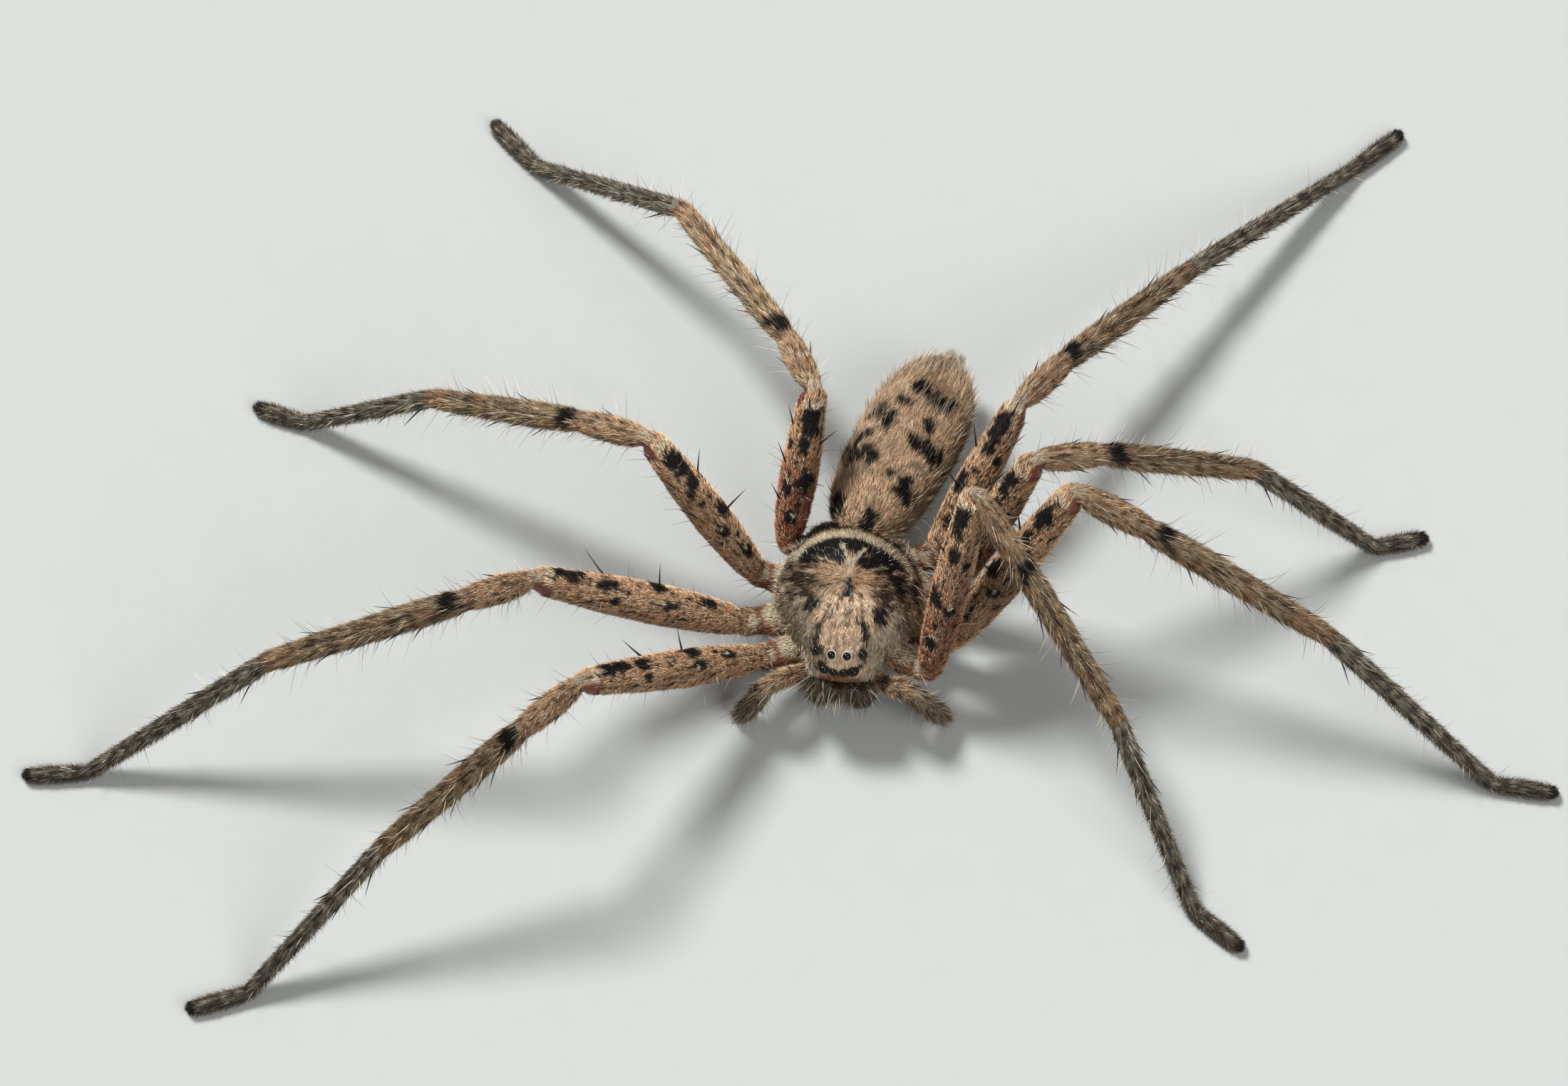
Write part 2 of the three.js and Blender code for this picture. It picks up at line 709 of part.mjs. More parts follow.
const chelicerae = [-1, 1].map((side) => ({ side, word: side < 0 ? "right" : "left" }));
chelicerae.forEach(({ side, word }) => {
  add(`${word}_chelicera`, makeChelicera(side).subtract(grownCarapace));
  const fang = tube(chainStations(FANG, side), 8);
  add(`${word}_fang`, fang.subtract(makeChelicera(side, FANG_GAP)), "fang");
});

PALPS.forEach((palp) => {
  const first = legs.find((leg) => leg.name === (palp.side < 0 ? "right_leg_1" : "left_leg_1"));
  const base = chainStations(palp.base, palp.side);
  const tip = chainStations(palp.tip, palp.side);
  const knee = base[base.length - 1].centre;
  const plane = mitre(aheadOf(base[base.length - 2].centre, knee), aheadOf(knee, tip[1].centre));
  const legCutters = [first.grown.coxa, first.grown.femur];
  const cutters = [grownCarapace, grownSternum, ...legCutters, makeChelicera(palp.side, JOINT_GAP)];
  add(`${palp.name}_base`, clear(cutAt(tube(rounded(base)), knee, plane, -1), cutters));
  add(`${palp.name}_tip`, clear(cutAt(tube(rounded(tip)), knee, plane, 1), cutters));
});

// The part's origin is the middle of its footprint, on the floor
const bounds = new THREE.Box3().setFromObject(spider);
const middle = bounds.getCenter(vec(0, 0, 0));
spider.position.set(-middle.x, -middle.y, 0);

export default spider;
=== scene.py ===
"""A huntsman spider at life size, as a museum shows it: skin, coat, spines, eyes and claws.

Lengths are in millimetres until a mesh is written, in metres. +Z is up and the floor is at
z = 0. The head faces -Y, and +X is the spider's left. A "turn" goes round a limb from its top,
in degrees, towards the abdomen's side on a leg.
"""

import logging
import math
from dataclasses import dataclass, field, replace
from enum import Enum, IntEnum

import bpy
import numpy as np
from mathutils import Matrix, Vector


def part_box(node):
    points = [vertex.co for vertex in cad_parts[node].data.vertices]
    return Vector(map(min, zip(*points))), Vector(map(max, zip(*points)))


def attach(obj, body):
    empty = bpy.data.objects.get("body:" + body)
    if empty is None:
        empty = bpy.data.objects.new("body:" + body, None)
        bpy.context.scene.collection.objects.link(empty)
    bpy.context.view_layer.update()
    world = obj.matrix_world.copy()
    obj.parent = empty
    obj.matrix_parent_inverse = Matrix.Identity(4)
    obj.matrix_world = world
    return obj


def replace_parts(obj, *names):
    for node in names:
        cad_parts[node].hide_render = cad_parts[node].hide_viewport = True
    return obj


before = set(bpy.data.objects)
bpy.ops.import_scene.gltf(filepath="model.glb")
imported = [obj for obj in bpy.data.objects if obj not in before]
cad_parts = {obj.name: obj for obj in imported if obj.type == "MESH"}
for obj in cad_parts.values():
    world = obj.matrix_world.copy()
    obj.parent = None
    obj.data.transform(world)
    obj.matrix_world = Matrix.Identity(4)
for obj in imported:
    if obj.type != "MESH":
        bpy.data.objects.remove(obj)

LOG = logging.getLogger("huntsman")
Array = np.ndarray
MM = 0.001
UP = np.array([0.0, 0.0, 1.0])
# Least height of the hair and of the legs' skin
FLOOR_CLEAR = 0.01


class Tone(Enum):
    """Colours of hair and skin, as display red, green and blue from 0 to 255."""

    CREAM = (228, 212, 180)
    PALE = (218, 202, 176)
    WHITE = (214, 217, 214)
    PAPER = (172, 174, 172)
    TAN = (205, 165, 125)
    HEAD = (240, 211, 180)
    GOLD = (212, 176, 142)
    ORANGE = (190, 132, 88)
    STRAW = (184, 158, 122)
    SAND = (224, 182, 140)
    OLIVE = (134, 120, 92)
    GREY = (152, 144, 126)
    DUSK = (98, 88, 74)
    BROWN = (104, 74, 50)
    BARK = (58, 43, 32)
    RUST = (138, 72, 44)
    MEMBRANE = (112, 56, 46)
    SOOT = (24, 21, 19)
    BLACK = (14, 13, 12)

    @property
    def linear(self) -> Array:
        """The colour as linear light."""
        return linear_light(np.array(self.value) / 255.0)


class Segment(IntEnum):
    """Segments of a leg, from the body outwards."""

    COXA = 0
    FEMUR = 1
    PATELLA = 2
    TIBIA = 3
    METATARSUS = 4
    TARSUS = 5


def linear_light(display: Array) -> Array:
    """Turns display values into linear light: (c + 0.055) / 1.055, to the power 2.4."""
    return np.where(display > 0.04045, ((display + 0.055) / 1.055) ** 2.4, display / 12.92)


def unit(vectors: Array) -> Array:
    """Each vector divided by its length."""
    size = np.linalg.norm(vectors, axis=-1, keepdims=True)
    return vectors / np.maximum(size, 1e-12)


def step_between(low: float, high: float, value: Array) -> Array:
    """Smooth step: 3 t^2 - 2 t^3, where t runs from 0 at low to 1 at high."""
    t = np.clip((value - low) / (high - low), 0.0, 1.0)
    return t * t * (3.0 - 2.0 * t)


def curve_through(rows: Array, at: Array) -> Array:
    """Hermite cubic through rows, with each row's slope taken from its neighbours.

    Args:
        rows: first column the place, the others the values.
        at: places to read.

    Returns:
        One row of values for each place.
    """
    place, values = rows[:, 0], rows[:, 1:]
    slopes = np.gradient(values, place, axis=0)
    left = np.clip(np.searchsorted(place, at, side="right") - 1, 0, len(place) - 2)
    span = (place[left + 1] - place[left])[..., None]
    t = np.clip((at[..., None] - place[left][..., None]) / span, 0.0, 1.0)
    start = (1 + 2 * t) * (1 - t) ** 2 * values[left] + t * (1 - t) ** 2 * span * slopes[left]
    end = t * t * (3 - 2 * t) * values[left + 1] + t * t * (t - 1) * span * slopes[left + 1]
    return start + end


def ripples(points: Array, size: float, seed: int) -> Array:
    """Smooth noise from about -1 to 1: the sum of nine sine waves in random directions.

    Args:
        points: places, in millimetres.
        size: the waves' usual length.
        seed: for the directions, lengths and phases.

    Returns:
        One value for each point.
    """
    draw = np.random.default_rng(seed)
    pace = 2.0 * np.pi / (size * draw.uniform(0.7, 1.6, (9, 1)))
    waves = unit(draw.normal(size=(9, 3))) * pace
    return np.sin(points @ waves.T + draw.uniform(0.0, 2.0 * np.pi, 9)).sum(-1) / 4.0


def speckle(x: Array, y: Array, cell: float, radius: float, chance: float, seed: int) -> Array:
    """Dots, at most one in each square cell, placed by a hash of the cell's two numbers.

    Args:
        x: place one way.
        y: place the other way.
        cell: size of a cell.
        radius: radius of a dot.
        chance: share of the cells that hold a dot.
        seed: for the hash.

    Returns:
        1 in a dot and 0 outside, with a soft edge.
    """
    column, row = np.floor(x / cell), np.floor(y / cell)

    def hashed(salt: float) -> Array:
        """The fraction of a large multiple of a sine of the cell's numbers."""
        return np.modf(np.abs(np.sin(column * 12.9898 + row * 78.233 + salt + seed) * 43758.5453))[0]

    room = 1.0 - 2.0 * radius / cell
    centre_x = (column + 0.5 + room * (hashed(1.7) - 0.5)) * cell
    centre_y = (row + 0.5 + room * (hashed(5.3) - 0.5)) * cell
    distance = np.hypot((x - centre_x) * 0.75, y - centre_y)
    return (hashed(9.1) < chance) * (1.0 - step_between(radius * 0.5, radius, distance))


@dataclass(frozen=True)
class Mark:
    """A patch of one tone round a point or along a line, on a surface's own two measures."""

    tone: Tone
    width: float
    path: tuple[tuple[float, float], ...]
    strength: float = 1.0
    ragged: float = 0.35

    def cover(self, x: Array, y: Array, noise: Array) -> Array:
        """How far each place lies inside the mark: its distance to the nearest stretch.

        Args:
            x: place one way.
            y: place the other way.
            noise: from -1 to 1, which makes the edge ragged.

        Returns:
            From 0 outside to the mark's strength inside.
        """
        nearest = np.full(x.shape, 1e9)
        for (x0, y0), (x1, y1) in zip(self.path, self.path[1:] or self.path):
            dx, dy = x1 - x0, y1 - y0
            length = max(dx * dx + dy * dy, 1e-9)
            t = np.clip(((x - x0) * dx + (y - y0) * dy) / length, 0.0, 1.0)
            nearest = np.minimum(nearest, np.hypot(x - x0 - t * dx, y - y0 - t * dy))
        edge = nearest / (self.width / 2.0) + self.ragged * noise
        return self.strength * (1.0 - step_between(0.8, 1.2, edge))


@dataclass(frozen=True)
class LegMark:
    """An oval patch on a leg: along its segment (0 to 1) and round it, with sizes in mm."""

    tone: Tone
    segment: Segment
    at: float
    turn: float
    half_long: float
    half_wide: float
    strength: float = 1.0


def blend(base: Array, tone: Tone, cover: Array) -> Array:
    """Mixes a tone into colours by how far it covers them."""
    return base + (tone.linear - base) * cover[..., None]


def even(tone: Tone, count: int, shade: float = 1.0) -> Array:
    """One tint, darkened or lightened by a shade, for each of a count."""
    return np.tile(tone.linear * shade, (count, 1))


def flat_ripples(x: Array, y: Array, size: float, seed: int) -> Array:
    """Smooth noise on a flat sheet, in streaks where one of the two places runs slowly."""
    return ripples(np.stack([x, y, np.zeros_like(x)], -1), size, seed)


def distances(knots: Array) -> Array:
    """How far along a path each of its knots lies."""
    return np.concatenate([[0.0], np.cumsum(np.linalg.norm(np.diff(knots, axis=0), axis=1))])


class MeshParts:
    """Points, triangles, tints and map places that are gathered into one mesh."""

    def __init__(self) -> None:
        """Starts with an empty mesh."""
        self.points: list[Array] = []
        self.faces: list[Array] = []
        self.tints: list[Array] = []
        self.maps: list[Array] = []
        self.count = 0

    def add(self, points: Array, faces: Array, tints: Array, maps: Array | None = None) -> None:
        """Adds a surface to the mesh.

        Args:
            points: its points, in millimetres.
            faces: its triangles, as numbers of its own points.
            tints: linear colour of each point.
            maps: place of each point on the map, on a coat.
        """
        self.points.append(points)
        self.faces.append(faces + self.count)
        self.tints.append(tints)
        if maps is not None:
            self.maps.append(maps)
        self.count += len(points)

    def build(self, name: str, finish: "Finish") -> bpy.types.Object:
        """Writes one mesh object in metres, with its place in its mesh.

        Args:
            name: the piece's name.
            finish: its material.

        Returns:
            The object, which rides on the body.
        """
        points = np.concatenate(self.points)
        faces = np.concatenate(self.faces).astype(np.int32)
        tints = np.concatenate(self.tints)
        mesh = bpy.data.meshes.new(name)
        mesh.vertices.add(len(points))
        mesh.vertices.foreach_set("co", (points * MM).astype(np.float32).ravel())
        mesh.loops.add(faces.size)
        mesh.loops.foreach_set("vertex_index", faces.ravel())
        mesh.polygons.add(len(faces))
        mesh.polygons.foreach_set("loop_start", np.arange(0, faces.size, 3, dtype=np.int32))
        mesh.update(calc_edges=True)
        mesh.validate()
        mesh.polygons.foreach_set("use_smooth", np.ones(len(faces), bool))
        layer = mesh.color_attributes.new("tint", "FLOAT_COLOR", "POINT")
        colours = np.ones((len(points), 4), np.float32)
        colours[:, :3] = tints
        layer.data.foreach_set("color", colours.ravel())
        if self.maps:
            places = np.concatenate(self.maps)[faces.ravel()].astype(np.float32)
            mesh.uv_layers.new(name="OFBake").data.foreach_set("uv", places.ravel())
        mesh.materials.append(finish.material())
        piece = bpy.data.objects.new(name, mesh)
        bpy.context.scene.collection.objects.link(piece)
        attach(piece, "root")
        LOG.info("%s: %d triangles", name, len(faces))
        return piece


@dataclass(frozen=True)
class Finish:
    """A procedural material: a tint from the mesh, or one colour, with grain over it."""

    name: str
    slot: str
    roughness: float
    colour: Tone | None = None
    gloss: float = 0.5
    coat: float = 0.0
    coat_roughness: float = 0.04
    grain_size: float = 0.2
    grain: float = 0.25
    grain_detail: float = 3.0
    bump: float = 0.0
    bump_strength: float = 0.6

    def material(self) -> bpy.types.Material:
        """Makes the material once: noise on Object coordinates darkens and lightens the tint.

        Returns:
            The material, shared by every piece of this finish.
        """
        known = bpy.data.materials.get(self.name)
        if known:
            return known
        made = bpy.data.materials.new(self.name)
        made.use_nodes = True
        nodes, links = made.node_tree.nodes, made.node_tree.links
        shader = nodes["Principled BSDF"]
        shader.inputs["Roughness"].default_value = self.roughness
        shader.inputs["Specular IOR Level"].default_value = self.gloss
        shader.inputs["Coat Weight"].default_value = self.coat
        shader.inputs["Coat Roughness"].default_value = self.coat_roughness
        place = nodes.new("ShaderNodeTexCoord")
        noise = nodes.new("ShaderNodeTexNoise")
        noise.inputs["Scale"].default_value = 1.0 / (self.grain_size * MM)
        noise.inputs["Detail"].default_value = self.grain_detail
        links.new(place.outputs["Object"], noise.inputs["Vector"])
        shade = nodes.new("ShaderNodeMapRange")
        shade.inputs["To Min"].default_value = 1.0 - self.grain
        shade.inputs["To Max"].default_value = 1.0 + self.grain
        links.new(noise.outputs["Fac"], shade.inputs["Value"])
        mixed = nodes.new("ShaderNodeVectorMath")
        mixed.operation = "SCALE"
        links.new(shade.outputs["Result"], mixed.inputs["Scale"])
        if self.colour is None:
            tint = nodes.new("ShaderNodeAttribute")
            tint.attribute_name = "tint"
            links.new(tint.outputs["Color"], mixed.inputs["Vector"])
        else:
            mixed.inputs["Vector"].default_value = self.colour.linear
        links.new(mixed.outputs["Vector"], shader.inputs["Base Color"])
        if self.bump:
            relief = nodes.new("ShaderNodeBump")
            relief.inputs["Strength"].default_value = self.bump_strength
            relief.inputs["Distance"].default_value = self.bump * MM
            links.new(noise.outputs["Fac"], relief.inputs["Height"])
            links.new(relief.outputs["Normal"], shader.inputs["Normal"])
        return made


SKIN = Finish("spider_skin", "coat", 0.5, gloss=0.35, grain_size=0.12, grain=0.35, bump=0.03)
COAT = Finish("spider_coat", "coat", 0.6, gloss=0.22, grain_size=0.35, grain=0.25)
BRISTLE = Finish("spider_bristle", "coat", 0.45, gloss=0.4, grain_size=0.4, grain=0.15)
SPINE = Finish("black_spine", "fang", 0.3, gloss=0.6, grain_size=0.3, grain=0.3)
HORN = Finish("dark_horn", "fang", 0.2, gloss=0.6, coat=0.4, grain_size=0.3, grain=0.35)
LENS = Finish("eye_lens", "eye", 0.12, Tone.BLACK, gloss=0.3, grain_size=0.2, grain=0.3)
FLOOR = Finish("pale_floor", "coat", 0.8, Tone.PAPER, gloss=0.1, grain_size=2.0, grain=0.02)


@dataclass
class Surface:
    """A closed surface of two numbers: u along it, and v, in radians, round it."""

    u_low: float = field(init=False, default=0.0)
    u_high: float = field(init=False, default=1.0)

    # Steps for directions: a share of the length, and radians
    STEP_ALONG = 1e-3
    STEP_ROUND = 0.02
    # Cells in which roots are scattered
    CELL_ROWS = 240
    CELL_COLUMNS = 60

    def at(self, u: Array, v: Array) -> Array:
        """Points of the surface."""
        raise NotImplementedError

    def frames(self, u: Array, v: Array) -> tuple[Array, Array, Array]:
        """Points with their direction along u and their outward normal, by small differences.

        Args:
            u: places along.
            v: places round.

        Returns:
            Points, unit directions along, and unit normals.
        """
        small = (self.u_high - self.u_low) * self.STEP_ALONG
        along = unit(self.at(np.minimum(u + small, self.u_high), v)
                     - self.at(np.maximum(u - small, self.u_low), v))
        around = self.at(u, v + self.STEP_ROUND) - self.at(u, v - self.STEP_ROUND)
        return self.at(u, v), along, unit(np.cross(along, around))

    def grid(self, rows: Array, columns: int) -> tuple[Array, Array, Array, Array]:
        """Points and triangles with a single point at each end.

        Args:
            rows: places along u, from end to end.
            columns: points round.

        Returns:
            Points, triangles, and the u and v of each point.
        """
        inner = rows[1:-1]
        turns = np.arange(columns) * 2.0 * np.pi / columns
        u, v = (values.ravel() for values in np.meshgrid(inner, turns, indexing="ij"))
        u = np.concatenate([u, rows[[0, -1]]])
        v = np.concatenate([v, [0.0, 0.0]])
        points = self.at(u, v)
        for row, pole in ((rows[0], -2), (rows[-1], -1)):
            points[pole] = self.at(np.full(columns, row), turns).mean(0)
        first, last = len(points) - 2, len(points) - 1
        here = np.arange(columns)
        after = (here + 1) % columns
        ring = np.arange(len(inner) - 1)[:, None] * columns
        a, b = ring + here, ring + after
        c, d = a + columns, b + columns
        sides = np.concatenate([np.stack([a, c, d], -1), np.stack([a, d, b], -1)]).reshape(-1, 3)
        near = np.stack([np.full(columns, first), here, after], -1)
        far_ring = (len(inner) - 1) * columns
        far = np.stack([far_ring + here, np.full(columns, last), far_ring + after], -1)
        return points, np.concatenate([sides, near, far]), u, v

    def scatter(self, count: int, weight: Array | None, seed: int) -> tuple[Array, Array]:
        """Spreads roots evenly: cells are weighed by area, and each draw lies in one cell.

        Args:
            count: how many roots.
            weight: density of each cell, rows by columns, or None for an even one.
            seed: for the draws.

        Returns:
            The u and v of each root.
        """
        draw = np.random.default_rng(seed)
        edges_u = np.linspace(self.u_low, self.u_high, self.CELL_ROWS + 1)
        edges_v = np.linspace(0.0, 2.0 * np.pi, self.CELL_COLUMNS + 1)
        corners = self.at(*np.meshgrid(edges_u, edges_v, indexing="ij"))
        first = corners[1:, 1:] - corners[:-1, :-1]
        second = corners[:-1, 1:] - corners[1:, :-1]
        area = np.linalg.norm(np.cross(first, second), axis=-1) / 2.0
        share = np.cumsum((area if weight is None else area * weight).ravel())
        cell = np.searchsorted(share / share[-1], (np.arange(count) + draw.random(count)) / count)
        row, column = np.divmod(np.minimum(cell, area.size - 1), self.CELL_COLUMNS)
        u = edges_u[row] + draw.random(count) * (edges_u[1] - edges_u[0])
        v = edges_v[column] + draw.random(count) * (edges_v[1] - edges_v[0])
        return u, v

    def maps(self, u: Array, v: Array) -> Array:
        """Places on the unwrapped surface, along it and round it, from 0 to 1."""
        return np.stack([(u - self.u_low) / (self.u_high - self.u_low), (v / (2.0 * np.pi)) % 1.0], -1)

    def cells(self) -> tuple[Array, Array]:
        """The middles of the cells that scatter uses.

        Returns:
            Their u and v, rows by columns.
        """
        share = (np.arange(self.CELL_ROWS) + 0.5) / self.CELL_ROWS
        u = self.u_low + share * (self.u_high - self.u_low)
        v = (np.arange(self.CELL_COLUMNS) + 0.5) / self.CELL_COLUMNS * 2.0 * np.pi
        return tuple(np.meshgrid(u, v, indexing="ij"))


@dataclass
class Limb(Surface):
    """An oval tube along a path whose corners are rounded, closed by round ends.

    A point is centre(u) + side * wide(u) * sin v + top * deep(u) * cos v. The centre is the
    path through the knots, averaged with a bell curve, and side = up x direction.
    """

    knots: Array
    girth: Array
    soften: float = 0.3
    up: Array = field(default_factory=lambda: UP)
    caps: tuple[float, float] = (0.3, 0.3)

    # Pace of the samples, the widest averaging of the girth, and rows on a cap beside its length
    PACE = 0.05
    GIRTH_SOFTEN = 0.14
    CAP_ROWS = (0.0, 0.03, 0.12, 0.3, 0.6)

    def __post_init__(self) -> None:
        """Samples the path and the half widths finely, once."""
        place = distances(self.knots)
        self.u_high = float(place[-1])
        self.arc = np.linspace(0.0, self.u_high, max(int(self.u_high / self.PACE), 8) + 1)
        raw = np.stack([np.interp(self.arc, place, axis) for axis in self.knots.T], -1)
        self.centre = self.averaged(raw, self.soften)
        girth = np.stack([np.interp(self.arc, self.girth[:, 0], axis)
                          for axis in self.girth[:, 1:].T], -1)
        self.half = self.averaged(girth, min(self.soften, self.GIRTH_SOFTEN))
        ahead = unit(np.gradient(self.centre, axis=0))
        self.side = unit(np.cross(self.up, ahead))
        self.top = np.cross(ahead, self.side)

    def averaged(self, values: Array, width: float) -> Array:
        """Averages along the path with a bell curve, run on straight past the ends.

        Args:
            values: one row for each sample of the path.
            width: the bell's spread, in millimetres. It is cut off at three spreads.

        Returns:
            The averaged rows.
        """
        pace = self.arc[1] - self.arc[0]
        reach = int(3.0 * width / pace)
        if reach < 1:
            return values
        steps = np.arange(reach, 0, -1)[:, None]
        before = values[0] + (values[0] - values[1]) * steps
        after = values[-1] + (values[-1] - values[-2]) * steps[::-1]
        padded = np.concatenate([before, values, after])
        bell = np.exp(-0.5 * (np.arange(-reach, reach + 1) * pace / width) ** 2)
        bell /= bell.sum()
        return np.stack([np.convolve(axis, bell, "valid") for axis in padded.T], -1)

    def read(self, table: Array, u: Array) -> Array:
        """Reads a finely sampled table at any place along."""
        return np.stack([np.interp(u, self.arc, axis) for axis in table.T], -1)

    def rounding(self, u: Array) -> Array:
        """The share of the half width that is left near a round end: a quarter circle.

        Args:
            u: places along.

        Returns:
            From 0 at an end to 1 away from it.
        """
        from_start = np.clip(u / self.caps[0], 0.0, 1.0)
        from_end = np.clip((self.u_high - u) / self.caps[1], 0.0, 1.0)
        return np.sqrt(1.0 - (1.0 - from_start) ** 2) * np.sqrt(1.0 - (1.0 - from_end) ** 2)

    def at(self, u: Array, v: Array) -> Array:
        """Points of the tube.

        Args:
            u: places along.
            v: places round.

        Returns:
            One point for each place.
        """
        wide, deep = np.moveaxis(self.read(self.half, u) * self.rounding(u)[..., None], -1, 0)
        across = self.read(self.side, u) * (wide * np.sin(v))[..., None]
        upward = self.read(self.top, u) * (deep * np.cos(v))[..., None]
        return self.read(self.centre, u) + across + upward

    def girth_at(self, u: Array) -> Array:
        """Mean half width at places along."""
        return self.read(self.half, u).mean(-1) * self.rounding(u)

    def rows(self, pace: float) -> Array:
        """Places along for the mesh, closer together where an end rounds off.

        Args:
            pace: distance between rows away from the ends.

        Returns:
            The places, from end to end.
        """
        close = np.array(self.CAP_ROWS)
        start, end = close * self.caps[0], self.u_high - close[::-1] * self.caps[1]
        count = max(int((self.u_high - sum(self.caps)) / pace), 2)
        middle = np.linspace(self.caps[0], self.u_high - self.caps[1], count + 1)
        return np.concatenate([start, middle, end])

    def mesh(self, pace: float, columns: int) -> tuple[Array, Array, Array, Array]:
        """The grid of the tube, with rows at a pace and a number of points round each."""
        return self.grid(self.rows(pace), columns)


@dataclass(frozen=True)
class Hair:
    """One kind of hair.

    Its lift is its angle above the skin and its stray is how far its direction varies, both in
    degrees. Its bow is how far it bends outwards, beside its length. Its root_shade is how bright
    the root is beside the tint: painted shade deep in the coat. Brightness varies by the contrast
    and length by uneven.
    """

    length: float
    width: float
    lift: float
    stray: float = 9.0
    bow: float = -0.1
    rings: int = 1
    sides: int = 3
    root_shade: float = 0.38
    contrast: float = 0.3
    uneven: float = 0.3


# Half a strand's size on the map, and the margin that its root keeps from the map's edge
MAP_PATCH = 0.0015
MAP_EDGE = 0.004
# How deep a root is sunk, how bright the tip is beside the tint (painted light on the tips of
# the coat), and how a strand narrows
HAIR_SUNK = 0.03
TIP_SHADE = 1.2
TAPER = 0.8
# How much the lift strays beside the direction
LIFT_STRAY = 0.6
# How bright a salted hair is beside the pale tone, and the darkest tint that salt replaces.
# Salted hairs are partly pale hairs and partly painted highlights on glossy hairs.
SALT_SHADE = 0.85
DARKEST_SALTED = 0.05


def strands(parts: MeshParts, kind: Hair, root: Array, ahead: Array, out: Array, tint: Array,
            maps: Array, seed: int, size: Array | float = 1.0) -> None:
    """Adds tapered strands to a mesh.

    Ring k of a strand lies at t = k / rings, at root + length * (t * lean + bow * t^2 * out),
    where lean turns from ahead towards out by the lift. The ring's radius is half the width
    times (1 - t)^TAPER, and the tip is one point. A strand is darker at its root than at its tip:
    painted shade deep in the coat, and painted light on the tips.
    On the map it is a small patch round its root, with the tip at its middle.

    Args:
        parts: the mesh that gets the strands.
        kind: their sizes.
        root: where each grows.
        ahead: unit direction in which each lies.
        out: unit normal of the skin at each root.
        tint: colour of each.
        maps: place of each root on the unwrapped skin, from 0 to 1.
        seed: for the draws.
        size: length beside the kind's, for each.
    """
    count = len(root)
    draw = np.random.default_rng(seed)
    lift = np.radians(kind.lift + draw.normal(0.0, kind.stray * LIFT_STRAY, count))[:, None]
    stray = np.radians(draw.normal(0.0, kind.stray, count))[:, None]
    flat = unit(ahead - out * (ahead * out).sum(-1, keepdims=True))
    flat = flat * np.cos(stray) + np.cross(out, flat) * np.sin(stray)
    lean = flat * np.cos(lift) + out * np.sin(lift)
    length = (kind.length * size * draw.uniform(1 - kind.uneven, 1 + kind.uneven, count))[:, None]
    side = unit(np.cross(lean, out) + 1e-9)
    start = root - out * HAIR_SUNK
    share = np.arange(kind.rings + 1) / kind.rings
    centre = start[:, None] + length[:, None] * (
        share[:, None] * lean[:, None] + kind.bow * share[:, None] ** 2 * out[:, None])
    heading = unit(lean[:, None] + 2.0 * kind.bow * share[:, None] * out[:, None])
    cross = np.cross(heading, side[:, None])
    turns = np.arange(kind.sides) * 2.0 * np.pi / kind.sides
    ring = (side[:, None, None] * np.cos(turns)[:, None]
            + cross[:, :, None] * np.sin(turns)[:, None])[:, :-1]
    radius = kind.width / 2.0 * (1.0 - share[:-1]) ** TAPER
    body = centre[:, :-1, None] + ring * radius[:, None, None]
    body = body.reshape(count, -1, 3)
    points = np.concatenate([body, centre[:, -1:]], 1)
    points[..., 2] = np.maximum(points[..., 2], FLOOR_CLEAR)
    each = points.shape[1]
    faces = (strand_faces(kind.rings, kind.sides)[None] + np.arange(count)[:, None, None] * each)
    brightness = np.exp(draw.normal(0.0, kind.contrast, (count, 1, 1)))
    fade = np.append(np.repeat(share[:-1], kind.sides), 1.0)[:, None]
    # Painted shade at the root, deep in the coat, and painted light at the tip
    shade = kind.root_shade + (TIP_SHADE - kind.root_shade) * fade
    colours = tint[:, None] * brightness * shade
    reach = MAP_PATCH * np.append(np.repeat(1.0 - share[:-1], kind.sides), 0.0)[:, None]
    corner = np.stack([np.cos(turns), np.sin(turns)], -1)
    patch = np.concatenate([np.tile(corner, (kind.rings, 1)), [[0.0, 0.0]]]) * reach
    spread = np.clip(maps, MAP_EDGE, 1.0 - MAP_EDGE)[:, None] + patch
    parts.add(points.reshape(-1, 3), faces.reshape(-1, 3), colours.reshape(-1, 3),
              spread.reshape(-1, 2))


def salted(tint: Array, share: Array | float, seed: int) -> Array:
    """Turns a share of the hairs pale, each drawn on its own, but none in a black mark.

    The pale hairs are partly real pale hairs and partly painted highlights on glossy hairs.

    Args:
        tint: colour of each hair.
        share: chance that a hair turns pale, one for all or one for each.
        seed: for the draws.

    Returns:
        The new colours.
    """
    drawn = np.random.default_rng(seed).random(len(tint)) < share
    pale = drawn & (tint.mean(-1) > DARKEST_SALTED)
    return np.where(pale[:, None], Tone.PALE.linear * SALT_SHADE, tint)


def strand_faces(rings: int, sides: int) -> Array:
    """Triangles of one closed strand: its sides ring by ring, its tip and its foot.

    Args:
        rings: rings of points below the tip.
        sides: points in a ring.

    Returns:
        The triangles, as numbers of the strand's points.
    """
    here = np.arange(sides)
    after = (here + 1) % sides
    faces = []
    for ring in range(rings - 1):
        a, b = ring * sides + here, ring * sides + after
        faces += [np.stack([a, b, b + sides], -1), np.stack([a, b + sides, a + sides], -1)]
    last = (rings - 1) * sides
    faces.append(np.stack([last + here, last + after, np.full(sides, rings * sides)], -1))
    fan = np.arange(1, sides - 1)
    faces.append(np.stack([np.zeros_like(fan), fan + 1, fan], -1))
    return np.concatenate(faces)


